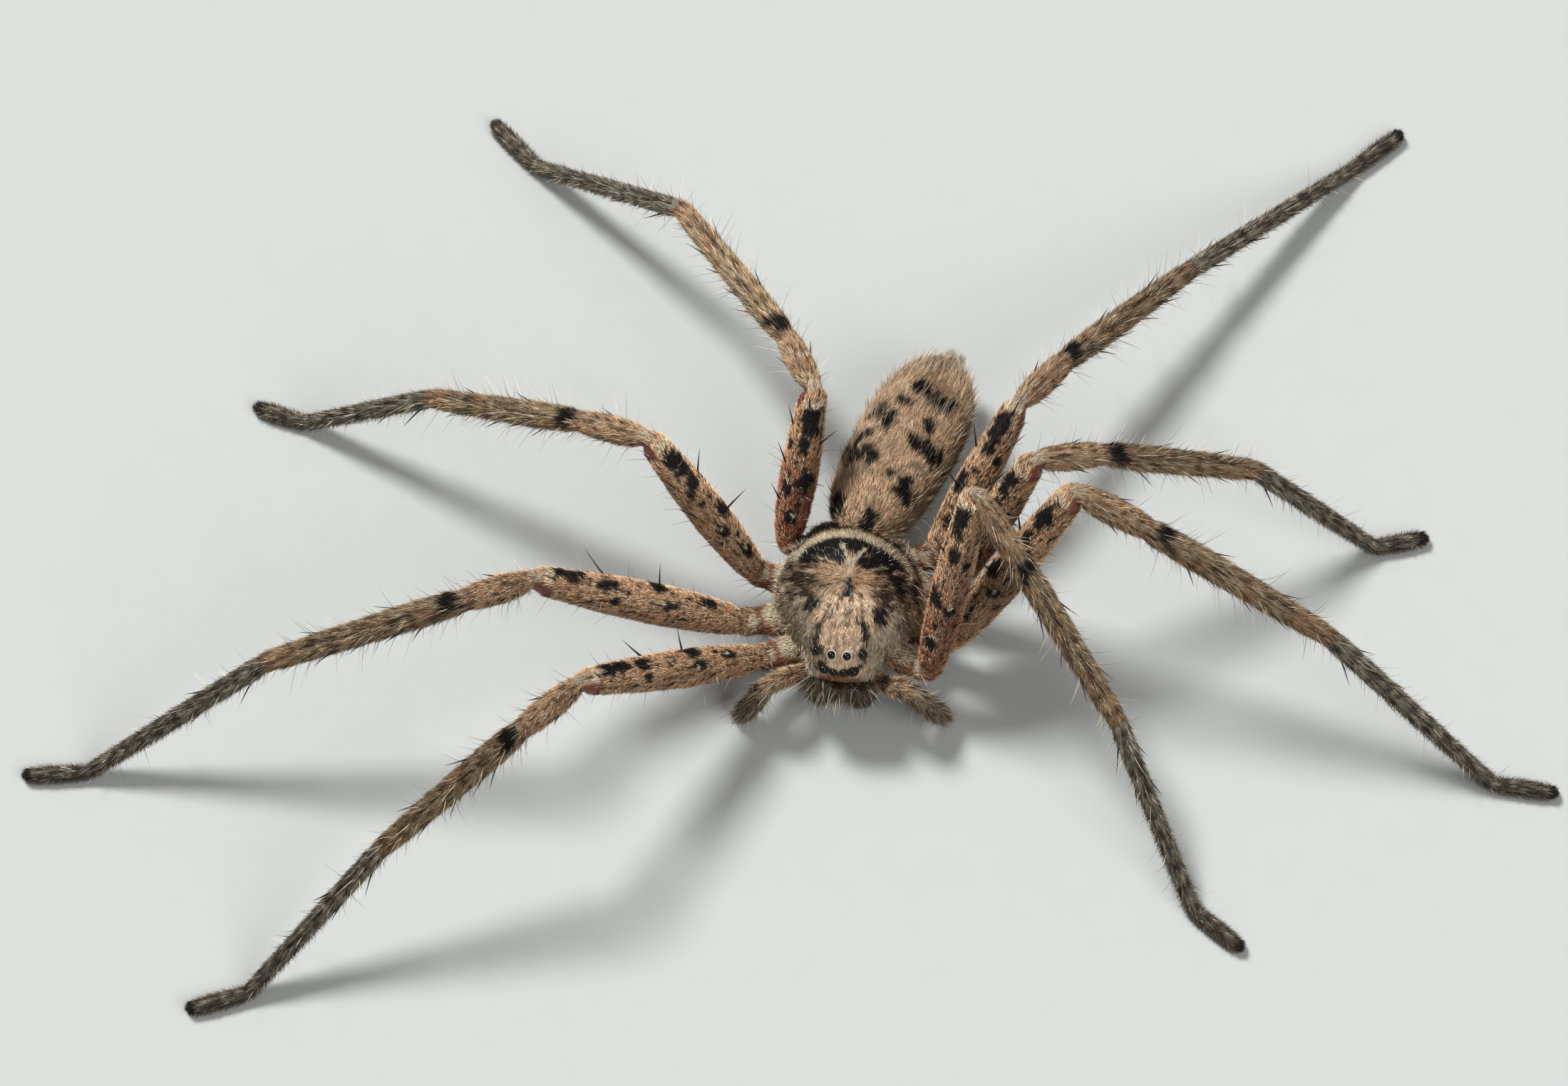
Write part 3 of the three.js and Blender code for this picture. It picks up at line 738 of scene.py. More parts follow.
@dataclass(frozen=True)
class Base:
    """Where the thorax or the leg bases stand, which way they face and how they lean."""

    x: float
    y: float
    yaw: float
    roll: float = 0.0
    roll_height: float = 4.0

    def place(self, out: Array | float, back: Array | float, height: Array | float) -> Array:
        """Turns a place given out, back and up into one of the model.

        Args:
            out: distance from the midline, to the left.
            back: distance to the rear.
            height: height above the floor.

        Returns:
            The point: leaned by the roll round a line along the body, then turned by the yaw.
        """
        out, back, height = np.broadcast_arrays(*(np.asarray(v, float) for v in (out, back, height)))
        roll, yaw = math.radians(self.roll), math.radians(self.yaw)
        above = height - self.roll_height
        leaned = out * math.cos(roll) + above * math.sin(roll)
        raised = self.roll_height - out * math.sin(roll) + above * math.cos(roll)
        return np.stack([self.x + leaned * math.cos(yaw) - back * math.sin(yaw),
                         self.y + leaned * math.sin(yaw) + back * math.cos(yaw), raised], -1)


THORAX = Base(x=3.398, y=-3.756, yaw=-6.7, roll=-3.0)
LEG_BASES = Base(x=3.448, y=-3.756, yaw=-4.5)


def heading_of(heading: float, rise: float) -> Array:
    """Turns two angles into a direction.

    Args:
        heading: angle from +X towards +Y, in degrees.
        rise: angle above the level, in degrees.

    Returns:
        The unit direction.
    """
    turn, lift = math.radians(heading), math.radians(rise)
    level = math.cos(lift)
    return np.array([level * math.cos(turn), level * math.sin(turn), math.sin(lift)])


# For each pair: where the coxa starts and ends, as out, back and height; the lengths of femur,
# patella, tibia, metatarsus and tarsus; and the girth beside the table's
COXA_STARTS = ((2.2, -2.45, 2.75), (2.65, -0.75, 2.6), (2.6, 0.95, 2.7), (1.9, 2.55, 2.8))
COXA_ENDS = ((4.88, -3.65, 3.42), (6.16, -1.42, 2.9), (5.58, 1.59, 3.08), (4.68, 3.36, 3.36))
LEG_LENGTHS = (
    (13.38, 4.54, 11.09, 12.43, 3.35),
    (13.87, 4.66, 12.47, 14.0, 3.51),
    (12.16, 4.27, 9.92, 10.75, 2.92),
    (9.99, 4.06, 10.27, 13.33, 3.61),
)
LEG_STOUTNESS = (0.97, 1.05, 0.98, 0.98)
# Heights above the floor at which the metatarsus and the tarsus end
END_HEIGHTS = (0.5, 0.42)

# Girth of the skin: place along the segment, half width, half depth
LEG_GIRTH = {
    Segment.COXA: ((0, 0.55, 0.57), (0.25, 0.8, 0.78), (0.52, 0.87, 0.87), (0.66, 0.74, 0.76),
                   (0.78, 0.7, 0.74), (0.9, 0.8, 0.82), (0.97, 0.7, 0.74)),
    Segment.FEMUR: ((0.02, 0.66, 0.7), (0.08, 0.82, 0.88), (0.2, 0.95, 1.02), (0.4, 1.07, 1.17),
                    (0.66, 1.0, 1.1), (0.88, 0.82, 0.9), (0.955, 0.76, 0.84), (0.99, 0.56, 0.6)),
    Segment.PATELLA: ((0.03, 0.46, 0.5), (0.2, 0.6, 0.64), (0.45, 0.72, 0.76), (0.8, 0.68, 0.7),
                      (0.95, 0.58, 0.6)),
    Segment.TIBIA: ((0.0, 0.54, 0.57), (0.05, 0.6, 0.64), (0.24, 0.66, 0.7), (0.6, 0.6, 0.64),
                    (0.9, 0.52, 0.54), (0.98, 0.46, 0.48)),
    Segment.METATARSUS: ((0.01, 0.42, 0.43), (0.05, 0.47, 0.48), (0.25, 0.46, 0.47),
                         (0.7, 0.36, 0.37), (0.96, 0.32, 0.33)),
    Segment.TARSUS: ((0.04, 0.3, 0.34), (0.2, 0.34, 0.38), (0.65, 0.38, 0.4), (0.9, 0.33, 0.36),
                     (1.0, 0.26, 0.28)),
}

LEG_MARKS = (
    LegMark(Tone.RUST, Segment.COXA, 0.72, 70, 0.7, 0.9, 0.7),
    LegMark(Tone.RUST, Segment.COXA, 0.72, -70, 0.7, 0.9, 0.7),
    LegMark(Tone.CREAM, Segment.COXA, 0.55, 5, 0.6, 0.75),
    LegMark(Tone.RUST, Segment.COXA, 0.73, 0, 0.12, 3.0, 0.8),
    LegMark(Tone.CREAM, Segment.COXA, 0.87, -15, 0.28, 0.5, 0.9),
    LegMark(Tone.SOOT, Segment.COXA, 0.9, 14, 0.13, 0.13),
    LegMark(Tone.MEMBRANE, Segment.COXA, 0.985, 0, 0.1, 3.0, 0.8),
    LegMark(Tone.SOOT, Segment.FEMUR, 0.21, 8, 0.58, 0.42),
    LegMark(Tone.CREAM, Segment.FEMUR, 0.225, 6, 0.2, 0.12),
    LegMark(Tone.SOOT, Segment.FEMUR, 0.31, 16, 0.2, 0.16),
    LegMark(Tone.SOOT, Segment.FEMUR, 0.45, 36, 0.75, 0.6),
    LegMark(Tone.SOOT, Segment.FEMUR, 0.41, -22, 0.55, 0.4),
    LegMark(Tone.CREAM, Segment.FEMUR, 0.43, -22, 0.22, 0.12),
    LegMark(Tone.SOOT, Segment.FEMUR, 0.56, 22, 0.2, 0.16),
    LegMark(Tone.SOOT, Segment.FEMUR, 0.58, -8, 0.2, 0.15),
    LegMark(Tone.SOOT, Segment.FEMUR, 0.7, 6, 0.62, 0.46),
    LegMark(Tone.SOOT, Segment.FEMUR, 0.67, -36, 0.36, 0.3),
    LegMark(Tone.SOOT, Segment.FEMUR, 0.855, 18, 1.15, 0.62),
    LegMark(Tone.SOOT, Segment.FEMUR, 0.78, 66, 1.9, 0.12, 0.9),
    LegMark(Tone.SOOT, Segment.FEMUR, 0.25, 62, 1.6, 0.1, 0.8),
    LegMark(Tone.CREAM, Segment.FEMUR, 0.965, 6, 0.22, 0.8, 0.9),
    LegMark(Tone.PALE, Segment.PATELLA, 0.06, 0, 0.25, 0.6, 0.7),
    LegMark(Tone.BROWN, Segment.PATELLA, 0.42, -16, 0.55, 0.13, 0.8),
    LegMark(Tone.BROWN, Segment.PATELLA, 0.34, 26, 0.32, 0.12, 0.7),
    LegMark(Tone.RUST, Segment.PATELLA, 0.985, 0, 0.1, 3.0, 0.8),
    LegMark(Tone.SOOT, Segment.TIBIA, 0.075, 6, 0.52, 0.72),
    LegMark(Tone.SOOT, Segment.TIBIA, 0.12, -50, 0.4, 0.3, 0.8),
    LegMark(Tone.BROWN, Segment.TIBIA, 0.5, 20, 0.6, 0.22, 0.7),
    LegMark(Tone.BARK, Segment.TIBIA, 0.34, -14, 1.2, 0.12, 0.8),
    LegMark(Tone.BARK, Segment.TIBIA, 0.7, 4, 1.6, 0.14, 0.8),
    LegMark(Tone.BARK, Segment.METATARSUS, 0.24, 8, 1.8, 0.14, 0.8),
    LegMark(Tone.SOOT, Segment.METATARSUS, 0.62, -12, 2.4, 0.1, 0.6),
)

# Black spines of each leg: segment, place along, turn, length, lift above the skin
LEG_SPINES = (
    (Segment.FEMUR, 0.46, 34, 2.1, 62), (Segment.FEMUR, 0.22, 6, 1.3, 12),
    (Segment.FEMUR, 0.43, -22, 1.4, 12), (Segment.FEMUR, 0.7, 6, 1.5, 14),
    (Segment.FEMUR, 0.68, 62, 1.9, 40), (Segment.FEMUR, 0.3, -52, 1.6, 22),
    (Segment.FEMUR, 0.52, -64, 1.7, 22), (Segment.FEMUR, 0.75, -60, 1.7, 22),
    (Segment.FEMUR, 0.92, -8, 1.7, 44),
    (Segment.PATELLA, 0.5, 80, 1.1, 20), (Segment.PATELLA, 0.5, -80, 1.1, 20),
    (Segment.TIBIA, 0.3, 78, 1.7, 16), (Segment.TIBIA, 0.3, -78, 1.7, 16),
    (Segment.TIBIA, 0.68, 82, 1.6, 16), (Segment.TIBIA, 0.68, -82, 1.6, 16),
    (Segment.TIBIA, 0.22, 150, 2.2, 30), (Segment.TIBIA, 0.22, -150, 2.2, 30),
    (Segment.TIBIA, 0.52, 150, 2.1, 30), (Segment.TIBIA, 0.52, -150, 2.1, 30),
    (Segment.METATARSUS, 0.1, 125, 2.0, 22), (Segment.METATARSUS, 0.1, -125, 2.0, 22),
    (Segment.METATARSUS, 0.32, 95, 1.6, 14), (Segment.METATARSUS, 0.32, -95, 1.6, 14),
)

# Kinds of hair: on the legs, the shield, the abdomen, the face and the palps
SHORT_HAIR = Hair(length=0.5, width=0.05, lift=21, stray=9, root_shade=0.5, contrast=0.22)
SHAGGY_HAIR = Hair(length=0.74, width=0.05, lift=17, stray=9, root_shade=0.34, contrast=0.4)
BRUSH_HAIR = Hair(length=0.42, width=0.045, lift=62, stray=12)
TUFT_HAIR = Hair(length=0.5, width=0.05, lift=28, stray=10)
LONG_HAIR = Hair(length=1.3, width=0.038, lift=50, stray=18, bow=0.3, rings=3, root_shade=0.9,
                 uneven=0.45)
FRINGE_HAIR = Hair(length=0.95, width=0.042, lift=46, stray=16, bow=-0.15, rings=2,
                   root_shade=0.8, uneven=0.4)
SPINE_HAIR = Hair(length=1.0, width=0.14, lift=20, stray=4, bow=0.06, rings=6, sides=6,
                  root_shade=1.0, contrast=0.0, uneven=0.08)
CLAW_HAIR = Hair(length=0.42, width=0.11, lift=8, stray=3, bow=-0.5, rings=5, sides=6,
                 root_shade=1.0, contrast=0.0, uneven=0.05)
SHIELD_HAIR = Hair(length=0.48, width=0.046, lift=18, stray=11, root_shade=0.4)
# Head hair has brighter roots: less painted shade, as painted light where the top of the head is lit
HEAD_HAIR = replace(SHIELD_HAIR, root_shade=0.65)
MARGIN_HAIR = Hair(length=0.62, width=0.045, lift=30, stray=20, bow=-0.2, rings=2, root_shade=0.7)
WHITE_HAIR = Hair(length=0.5, width=0.03, lift=24, stray=60, bow=-0.2, rings=3, root_shade=0.9)
ABDOMEN_HAIR = Hair(length=0.58, width=0.044, lift=20, stray=10)
ABDOMEN_LONG_HAIR = Hair(length=1.1, width=0.036, lift=42, stray=12, bow=-0.12, rings=2,
                         root_shade=0.7)
SPINNERET_HAIR = Hair(length=0.5, width=0.045, lift=24, stray=16)
FACE_HAIR = Hair(length=0.68, width=0.046, lift=22, stray=15)
FACE_LONG_HAIR = Hair(length=1.35, width=0.04, lift=32, stray=20, bow=-0.1, rings=3,
                      root_shade=0.75, uneven=0.4)
BEARD_HAIR = Hair(length=1.25, width=0.042, lift=0, stray=12, bow=0.15, rings=2, contrast=0.5,
                  uneven=0.4)
BEARD_LONG_HAIR = Hair(length=2.0, width=0.034, lift=0, stray=16, bow=0.2, rings=4,
                       root_shade=0.8, uneven=0.35)
PALP_SPINE_HAIR = Hair(length=1.0, width=0.09, lift=40, stray=8, rings=5, sides=6,
                       root_shade=1.0, contrast=0.0)


@dataclass
class Leg:
    """One leg: its pose, the path of its joints, its skin, coat, spines and claws.

    The side is 1 on the left and -1 on the right. The headings are those of the segments from
    the femur on. The rises are those of femur, patella and tibia, and the other two follow from
    the heights at which they end. The coxa ends at its pair's place unless an end is given. The
    flush is how red the femur is at its root.
    """

    name: str
    side: int
    pair: int
    headings: tuple[float, ...]
    rises: tuple[float, ...]
    end: tuple[float, float, float] | None = None
    flush: float = 0.15
    hairs: int = 27000
    brush_hairs: int = 3200
    tuft_hairs: int = 420
    long_hairs: int = 260
    fringe_hairs: int = 420

    # How far ahead of its root a hair takes its tint, so that a mark lies where hairs show it
    DRIFT = 0.24
    # How far marks and spines stray from the tables: along their segment, and round it
    STRAY_ALONG = 0.012
    STRAY_TURN = 5.0
    # Brightness of the skin under the coat, darkened as painted shade between the hairs, and how
    # much more there is where it is bare and no hair shades it
    SKIN_SHADE = 0.26
    BARE_SHADE = 0.55
    # Share of the long hairs that are dark
    DARK_SHARE = 0.35
    # How far the claws stand back from the tip, and their turns
    CLAW_BACK = 0.12
    CLAW_TURNS = np.array([-50.0, 50.0])
    # One value for each segment, from the coxa to the tarsus
    GROUNDS = np.array([tone.linear for tone in (
        Tone.TAN, Tone.SAND, Tone.TAN, Tone.STRAW, Tone.GREY, Tone.DUSK)])
    DARK_STREAKS = np.array([0.5, 0.08, 0.2, 0.8, 0.9, 0.8])
    PALE_STREAKS = np.array([0.4, 0.3, 0.6, 0.3, 0.5, 0.35])
    COAT_LENGTHS = np.array([0.8, 0.85, 1.0, 1.0, 0.9, 0.62])
    LONG_DENSITY = np.array([0.9, 0.35, 1.0, 1.0, 0.6, 0.1])
    FRINGE_DENSITY = np.array([0.0, 0.0, 0.2, 0.5, 1.0, 0.3])
    LONG_LENGTHS = np.array([0.7, 0.75, 0.9, 1.0, 0.85, 0.5])

    def __post_init__(self) -> None:
        """Works out the joints and the tube of the skin."""
        lengths = LEG_LENGTHS[self.pair]
        root = self.on_base(COXA_STARTS[self.pair])
        joints = [self.on_base(self.end or COXA_ENDS[self.pair])]
        for i, heading in enumerate(self.headings):
            start = joints[-1]
            if i < len(self.rises):
                rise = self.rises[i]
            else:
                drop = END_HEIGHTS[i - len(self.rises)] - start[2]
                rise = math.degrees(math.asin(drop / lengths[i]))
            joints.append(start + lengths[i] * heading_of(heading, rise))
        knots = np.array([root, *joints])
        self.bounds = distances(knots)
        rows = []
        for segment, girth in LEG_GIRTH.items():
            start, end = self.bounds[segment:segment + 2]
            stout = 1.0 if segment is Segment.TARSUS else LEG_STOUTNESS[self.pair]
            rows += [(start + at * (end - start), wide * stout, deep * stout)
                     for at, wide, deep in girth]
        self.tube = Limb(knots=knots, girth=np.array(rows), soften=0.34, caps=(0.5, 0.3))

    def on_base(self, place: tuple[float, float, float]) -> Array:
        """A place given outwards from the midline, back and up, on this leg's side."""
        out, back, height = place
        return LEG_BASES.place(self.side * out, back, height)

    def local(self, u: Array, v: Array) -> tuple[Array, Array, Array, Array]:
        """Turns u and v into a leg's own measures.

        Args:
            u: places along the tube.
            v: places round it.

        Returns:
            The segment, the place along it from 0 to 1, the turn in degrees and half width.
        """
        segment = np.clip(np.searchsorted(self.bounds, u, side="right") - 1, 0, Segment.TARSUS)
        start, end = self.bounds[segment], self.bounds[segment + 1]
        turn = (np.degrees(v) * self.side + 180.0) % 360.0 - 180.0
        return segment, (u - start) / (end - start), turn, self.tube.girth_at(u)

    def naked(self, u: Array, v: Array) -> Array:
        """How bare the skin is: the membranes under the knee, and thin rings at the joints.

        Args:
            u: places along the tube.
            v: places round it.

        Returns:
            From 0 where the coat is full to 1 where the skin is bare.
        """
        turn = self.local(u, v)[2]
        knee = self.bounds[Segment.PATELLA]
        near = 1.0 - step_between(0.6, 0.8, np.abs(u - knee + 0.3))
        under = step_between(36.0, 52.0, np.where(turn < 0, -turn, np.abs(turn) - 70.0))
        shin = self.bounds[Segment.TIBIA]
        ring = 0.6 * (1.0 - step_between(0.05, 0.13, np.abs(u - shin)))
        ankle = self.bounds[Segment.METATARSUS]
        cuff = 0.7 * (1.0 - step_between(0.06, 0.16, np.abs(u - ankle)))
        return np.clip(near * under + ring + cuff, 0.0, 1.0)

    def tint(self, u: Array, v: Array) -> Array:
        """The markings at places of the leg, for its skin and its coat alike.

        Args:
            u: places along the tube.
            v: places round it.

        Returns:
            Linear colours.
        """
        points = self.tube.at(u, v)
        segment, at, turn, half = self.local(u, v)
        length = self.bounds[segment + 1] - self.bounds[segment]
        across = np.radians(turn) * half
        femur, patella, tibia, metatarsus = (segment == each for each in (
            Segment.FEMUR, Segment.PATELLA, Segment.TIBIA, Segment.METATARSUS))
        streaks = flat_ripples(u * 0.3, across, 0.27, 5)
        patches = step_between(0.0, 0.9, ripples(points, 1.6, 3)) * 0.5
        colour = blend(self.GROUNDS[segment], Tone.ORANGE, (femur | tibia) * patches)
        colour = blend(colour, Tone.RUST, femur * (1.0 - step_between(0.25, 0.95, at)) * self.flush)
        colour = blend(colour, Tone.DUSK, metatarsus * step_between(0.1, 0.9, at) * 0.45)
        colour = blend(colour, Tone.ORANGE, tibia * step_between(0.78, 0.97, at) * 0.35)
        dark = step_between(0.1, 0.6, streaks) * self.DARK_STREAKS[segment]
        colour = blend(colour, Tone.BARK, dark)
        pale = step_between(0.1, 0.9, -streaks) * self.PALE_STREAKS[segment]
        colour = blend(colour, Tone.PALE, pale)
        colour = blend(colour, Tone.BROWN, step_between(105.0, 160.0, np.abs(turn)) * 0.35)
        dots = speckle(u, across + 0.3, cell=0.42, radius=0.14, chance=0.62,
                       seed=self.pair * 7 + self.side)
        colour = blend(colour, Tone.BARK, dots * (femur | patella) * 0.9)
        draw = np.random.default_rng(40 + self.pair * 2 + self.side)
        noise = ripples(points, 0.5, 9) + 0.6 * ripples(points, 0.17, 10)
        for mark in LEG_MARKS:
            shift_at = draw.normal(0.0, self.STRAY_ALONG)
            shift_turn = draw.normal(0.0, self.STRAY_TURN)
            x = (at - mark.at - shift_at) * length / mark.half_long
            y = np.radians(turn - mark.turn - shift_turn) * half / mark.half_wide
            cover = 1.0 - step_between(0.75, 1.15, np.hypot(x, y) + 0.22 * noise - 0.25 * streaks)
            colour = blend(colour, mark.tone, cover * (segment == mark.segment) * mark.strength)
        return blend(colour, Tone.MEMBRANE, self.naked(u, v))

    def skin(self, parts: MeshParts) -> None:
        """Adds the leg's tube to the skin.

        Args:
            parts: the mesh of the skin.
        """
        points, faces, u, v = self.tube.mesh(pace=0.2, columns=22)
        points[:, 2] = np.maximum(points[:, 2], FLOOR_CLEAR)
        # Painted shade between the hairs darkens the skin, less where it is bare
        shade = self.SKIN_SHADE + self.BARE_SHADE * self.naked(u, v)
        parts.add(points, faces, self.tint(u, v) * shade[:, None])

    def rooted(self, u: Array, v: Array) -> tuple[Array, Array, Array, Array]:
        """Roots with the direction along the leg, the normal and the place on the map."""
        return (*self.tube.frames(u, v), self.tube.maps(u, v))

    def coat(self) -> None:
        """Grows the short hair, shaggier from the tibia on, and the brush under the foot."""
        parts = MeshParts()
        seed = 100 * self.pair + 10 * self.side + 50
        u, v = self.tube.cells()
        denser = np.where(u > self.bounds[Segment.TIBIA], 1.25, 1.0)
        density = (1.0 - 0.97 * self.naked(u, v)) * denser
        u, v = self.tube.scatter(self.hairs, density, seed)
        segment = self.local(u, v)[0]
        root, along, normal, maps = self.rooted(u, v)
        tint = salted(self.tint(np.minimum(u + self.DRIFT, self.tube.u_high), v), 0.07, seed + 7)
        size = self.COAT_LENGTHS[segment]
        short = segment <= Segment.PATELLA
        for kind, chosen in ((SHORT_HAIR, short), (SHAGGY_HAIR, ~short)):
            strands(parts, kind, root[chosen], along[chosen], normal[chosen], tint[chosen],
                    maps[chosen], seed + 1, size[chosen])
        self.brush(parts, seed + 2)
        parts.build(f"{self.name}_coat", COAT)

    def brush(self, parts: MeshParts, seed: int) -> None:
        """Grows the dense grey brush under the metatarsus and tarsus, and the claw tufts.

        Args:
            parts: the mesh of the coat.
            seed: for the draws.
        """
        u, v = self.tube.cells()
        segment, at, turn, _ = self.local(u, v)
        under = step_between(70.0, 110.0, np.abs(turn))
        inner = (segment == Segment.METATARSUS) * step_between(0.25, 0.7, at) * 0.6
        outer = (segment == Segment.TARSUS) + inner
        u, v = self.tube.scatter(self.brush_hairs, under * outer + 1e-9, seed)
        root, along, normal, maps = self.rooted(u, v)
        tint = even(Tone.GREY, len(u), 0.55)
        size = np.minimum(1.0, root[:, 2] / 0.25 + 0.25)
        strands(parts, BRUSH_HAIR, root, along, normal, tint, maps, seed, size)
        draw = np.random.default_rng(seed)
        u = self.tube.u_high - draw.uniform(0.0, 0.35, self.tuft_hairs)
        v = draw.uniform(0.0, 2.0 * np.pi, self.tuft_hairs)
        root, along, normal, maps = self.rooted(u, v)
        tint = even(Tone.SOOT, self.tuft_hairs, 1.6)
        strands(parts, TUFT_HAIR, root, along, normal, tint, maps, seed + 5)

    def bristles(self, parts: MeshParts) -> None:
        """Grows long thin hairs all round, most of them pale, and the outer leg's fringe.

        Args:
            parts: the mesh of the bristles.
        """
        seed = 7 * self.pair + self.side + 900
        u, v = self.tube.cells()
        segment, _, turn, _ = self.local(u, v)
        around = self.LONG_DENSITY[segment]
        below = self.FRINGE_DENSITY[segment] * step_between(60.0, 95.0, np.abs(turn))
        for kind, count, weight in ((LONG_HAIR, self.long_hairs, around),
                                    (FRINGE_HAIR, self.fringe_hairs, below)):
            u, v = self.tube.scatter(count, weight, seed)
            root, along, normal, maps = self.rooted(u, v)
            dark = np.random.default_rng(seed).random(len(u)) < self.DARK_SHARE
            tint = np.where(dark[:, None], Tone.DUSK.linear, Tone.PALE.linear * 0.8)
            size = self.LONG_LENGTHS[self.local(u, v)[0]]
            strands(parts, kind, root, along, normal, tint, maps, seed, size)

    def spines(self, parts: MeshParts) -> None:
        """Sets the black spines, which lean towards the foot.

        Args:
            parts: the mesh of the spines.
        """
        draw = np.random.default_rng(300 + 5 * self.pair + self.side)
        for i, (segment, at, turn, length, lift) in enumerate(LEG_SPINES):
            start, end = self.bounds[segment:segment + 2]
            u = np.array([start + (at + draw.normal(0.0, self.STRAY_ALONG)) * (end - start)])
            v = np.array([math.radians(turn + draw.normal(0.0, self.STRAY_TURN)) * self.side])
            root, along, normal, maps = self.rooted(u, v)
            kind = replace(SPINE_HAIR, length=length, lift=lift)
            tint = even(Tone.SOOT, 1, 0.8)
            strands(parts, kind, root, along, normal, tint, maps, 30 * i + self.pair)

    def claws(self, parts: MeshParts) -> None:
        """Sets the two claws at the tip of the foot.

        Args:
            parts: the mesh of the claws.
        """
        u = np.full(2, self.tube.u_high - self.CLAW_BACK)
        v = np.radians(self.CLAW_TURNS)
        root, along, _, maps = self.rooted(u, v)
        tint = even(Tone.SOOT, 2)
        strands(parts, CLAW_HAIR, root, along, np.tile(UP, (2, 1)), tint, maps, self.pair)


# Name, side, pair, headings, rises, and the coxa's end and the flush where a leg has its own
LEG_POSES = (
    ("right_leg_1", -1, 0, (-159.0, -136.3, -145.7, -139.9, -164.6), (36.5, 15.3, -28.1)),
    ("right_leg_2", -1, 1, (178.9, -153.3, -168.1, -158.6, -177.0), (32.8, 26.5, -19.4)),
    ("right_leg_3", -1, 2, (140.5, 160.7, 162.7, 172.3, 161.2), (50.6, -12.3, -22.6)),
    ("right_leg_4", -1, 3, (77.0, 113.8, 126.2, 146.5, 132.4), (47.0, -15.0, -6.2),
     (3.9, 3.6, 3.36), 0.9),
    ("left_leg_1", 1, 0, (71.6, -50.4, -54.9, -64.0, -39.6), (56.4, -34.0, -25.5), None, 0.7),
    ("left_leg_2", 1, 1, (38.4, -21.9, -25.5, -33.7, -8.3), (52.9, -20.3, -21.0)),
    ("left_leg_3", 1, 2, (42.0, 11.8, 3.2, -16.6, 11.0), (59.3, -18.4, -25.6)),
    ("left_leg_4", 1, 3, (58.4, 47.3, 41.0, 37.9, 37.6), (24.7, -11.4, -13.9)),
)


# The carapace's skin from front to rear: back, half width, margin height, top height and how
# square the section is
CARAPACE_ROWS = np.array([
    (-4.98, 0.95, 4.35, 4.75, 0.95), (-4.8, 1.42, 4.25, 5.2, 0.85), (-4.4, 1.78, 4.2, 5.83, 0.76),
    (-3.9, 1.94, 4.1, 6.48, 0.74), (-3.2, 2.33, 4.0, 6.86, 0.8), (-2.3, 3.15, 3.9, 7.0, 0.88),
    (-1.3, 3.88, 3.8, 6.98, 0.95), (-0.1, 4.18, 3.75, 6.88, 1.0), (1.2, 4.03, 3.75, 6.68, 1.0),
    (2.5, 3.53, 3.8, 6.23, 1.0), (3.5, 2.88, 3.9, 5.63, 0.95), (4.2, 2.23, 4.0, 4.95, 0.9),
    (4.5, 1.8, 4.1, 4.5, 0.9),
])

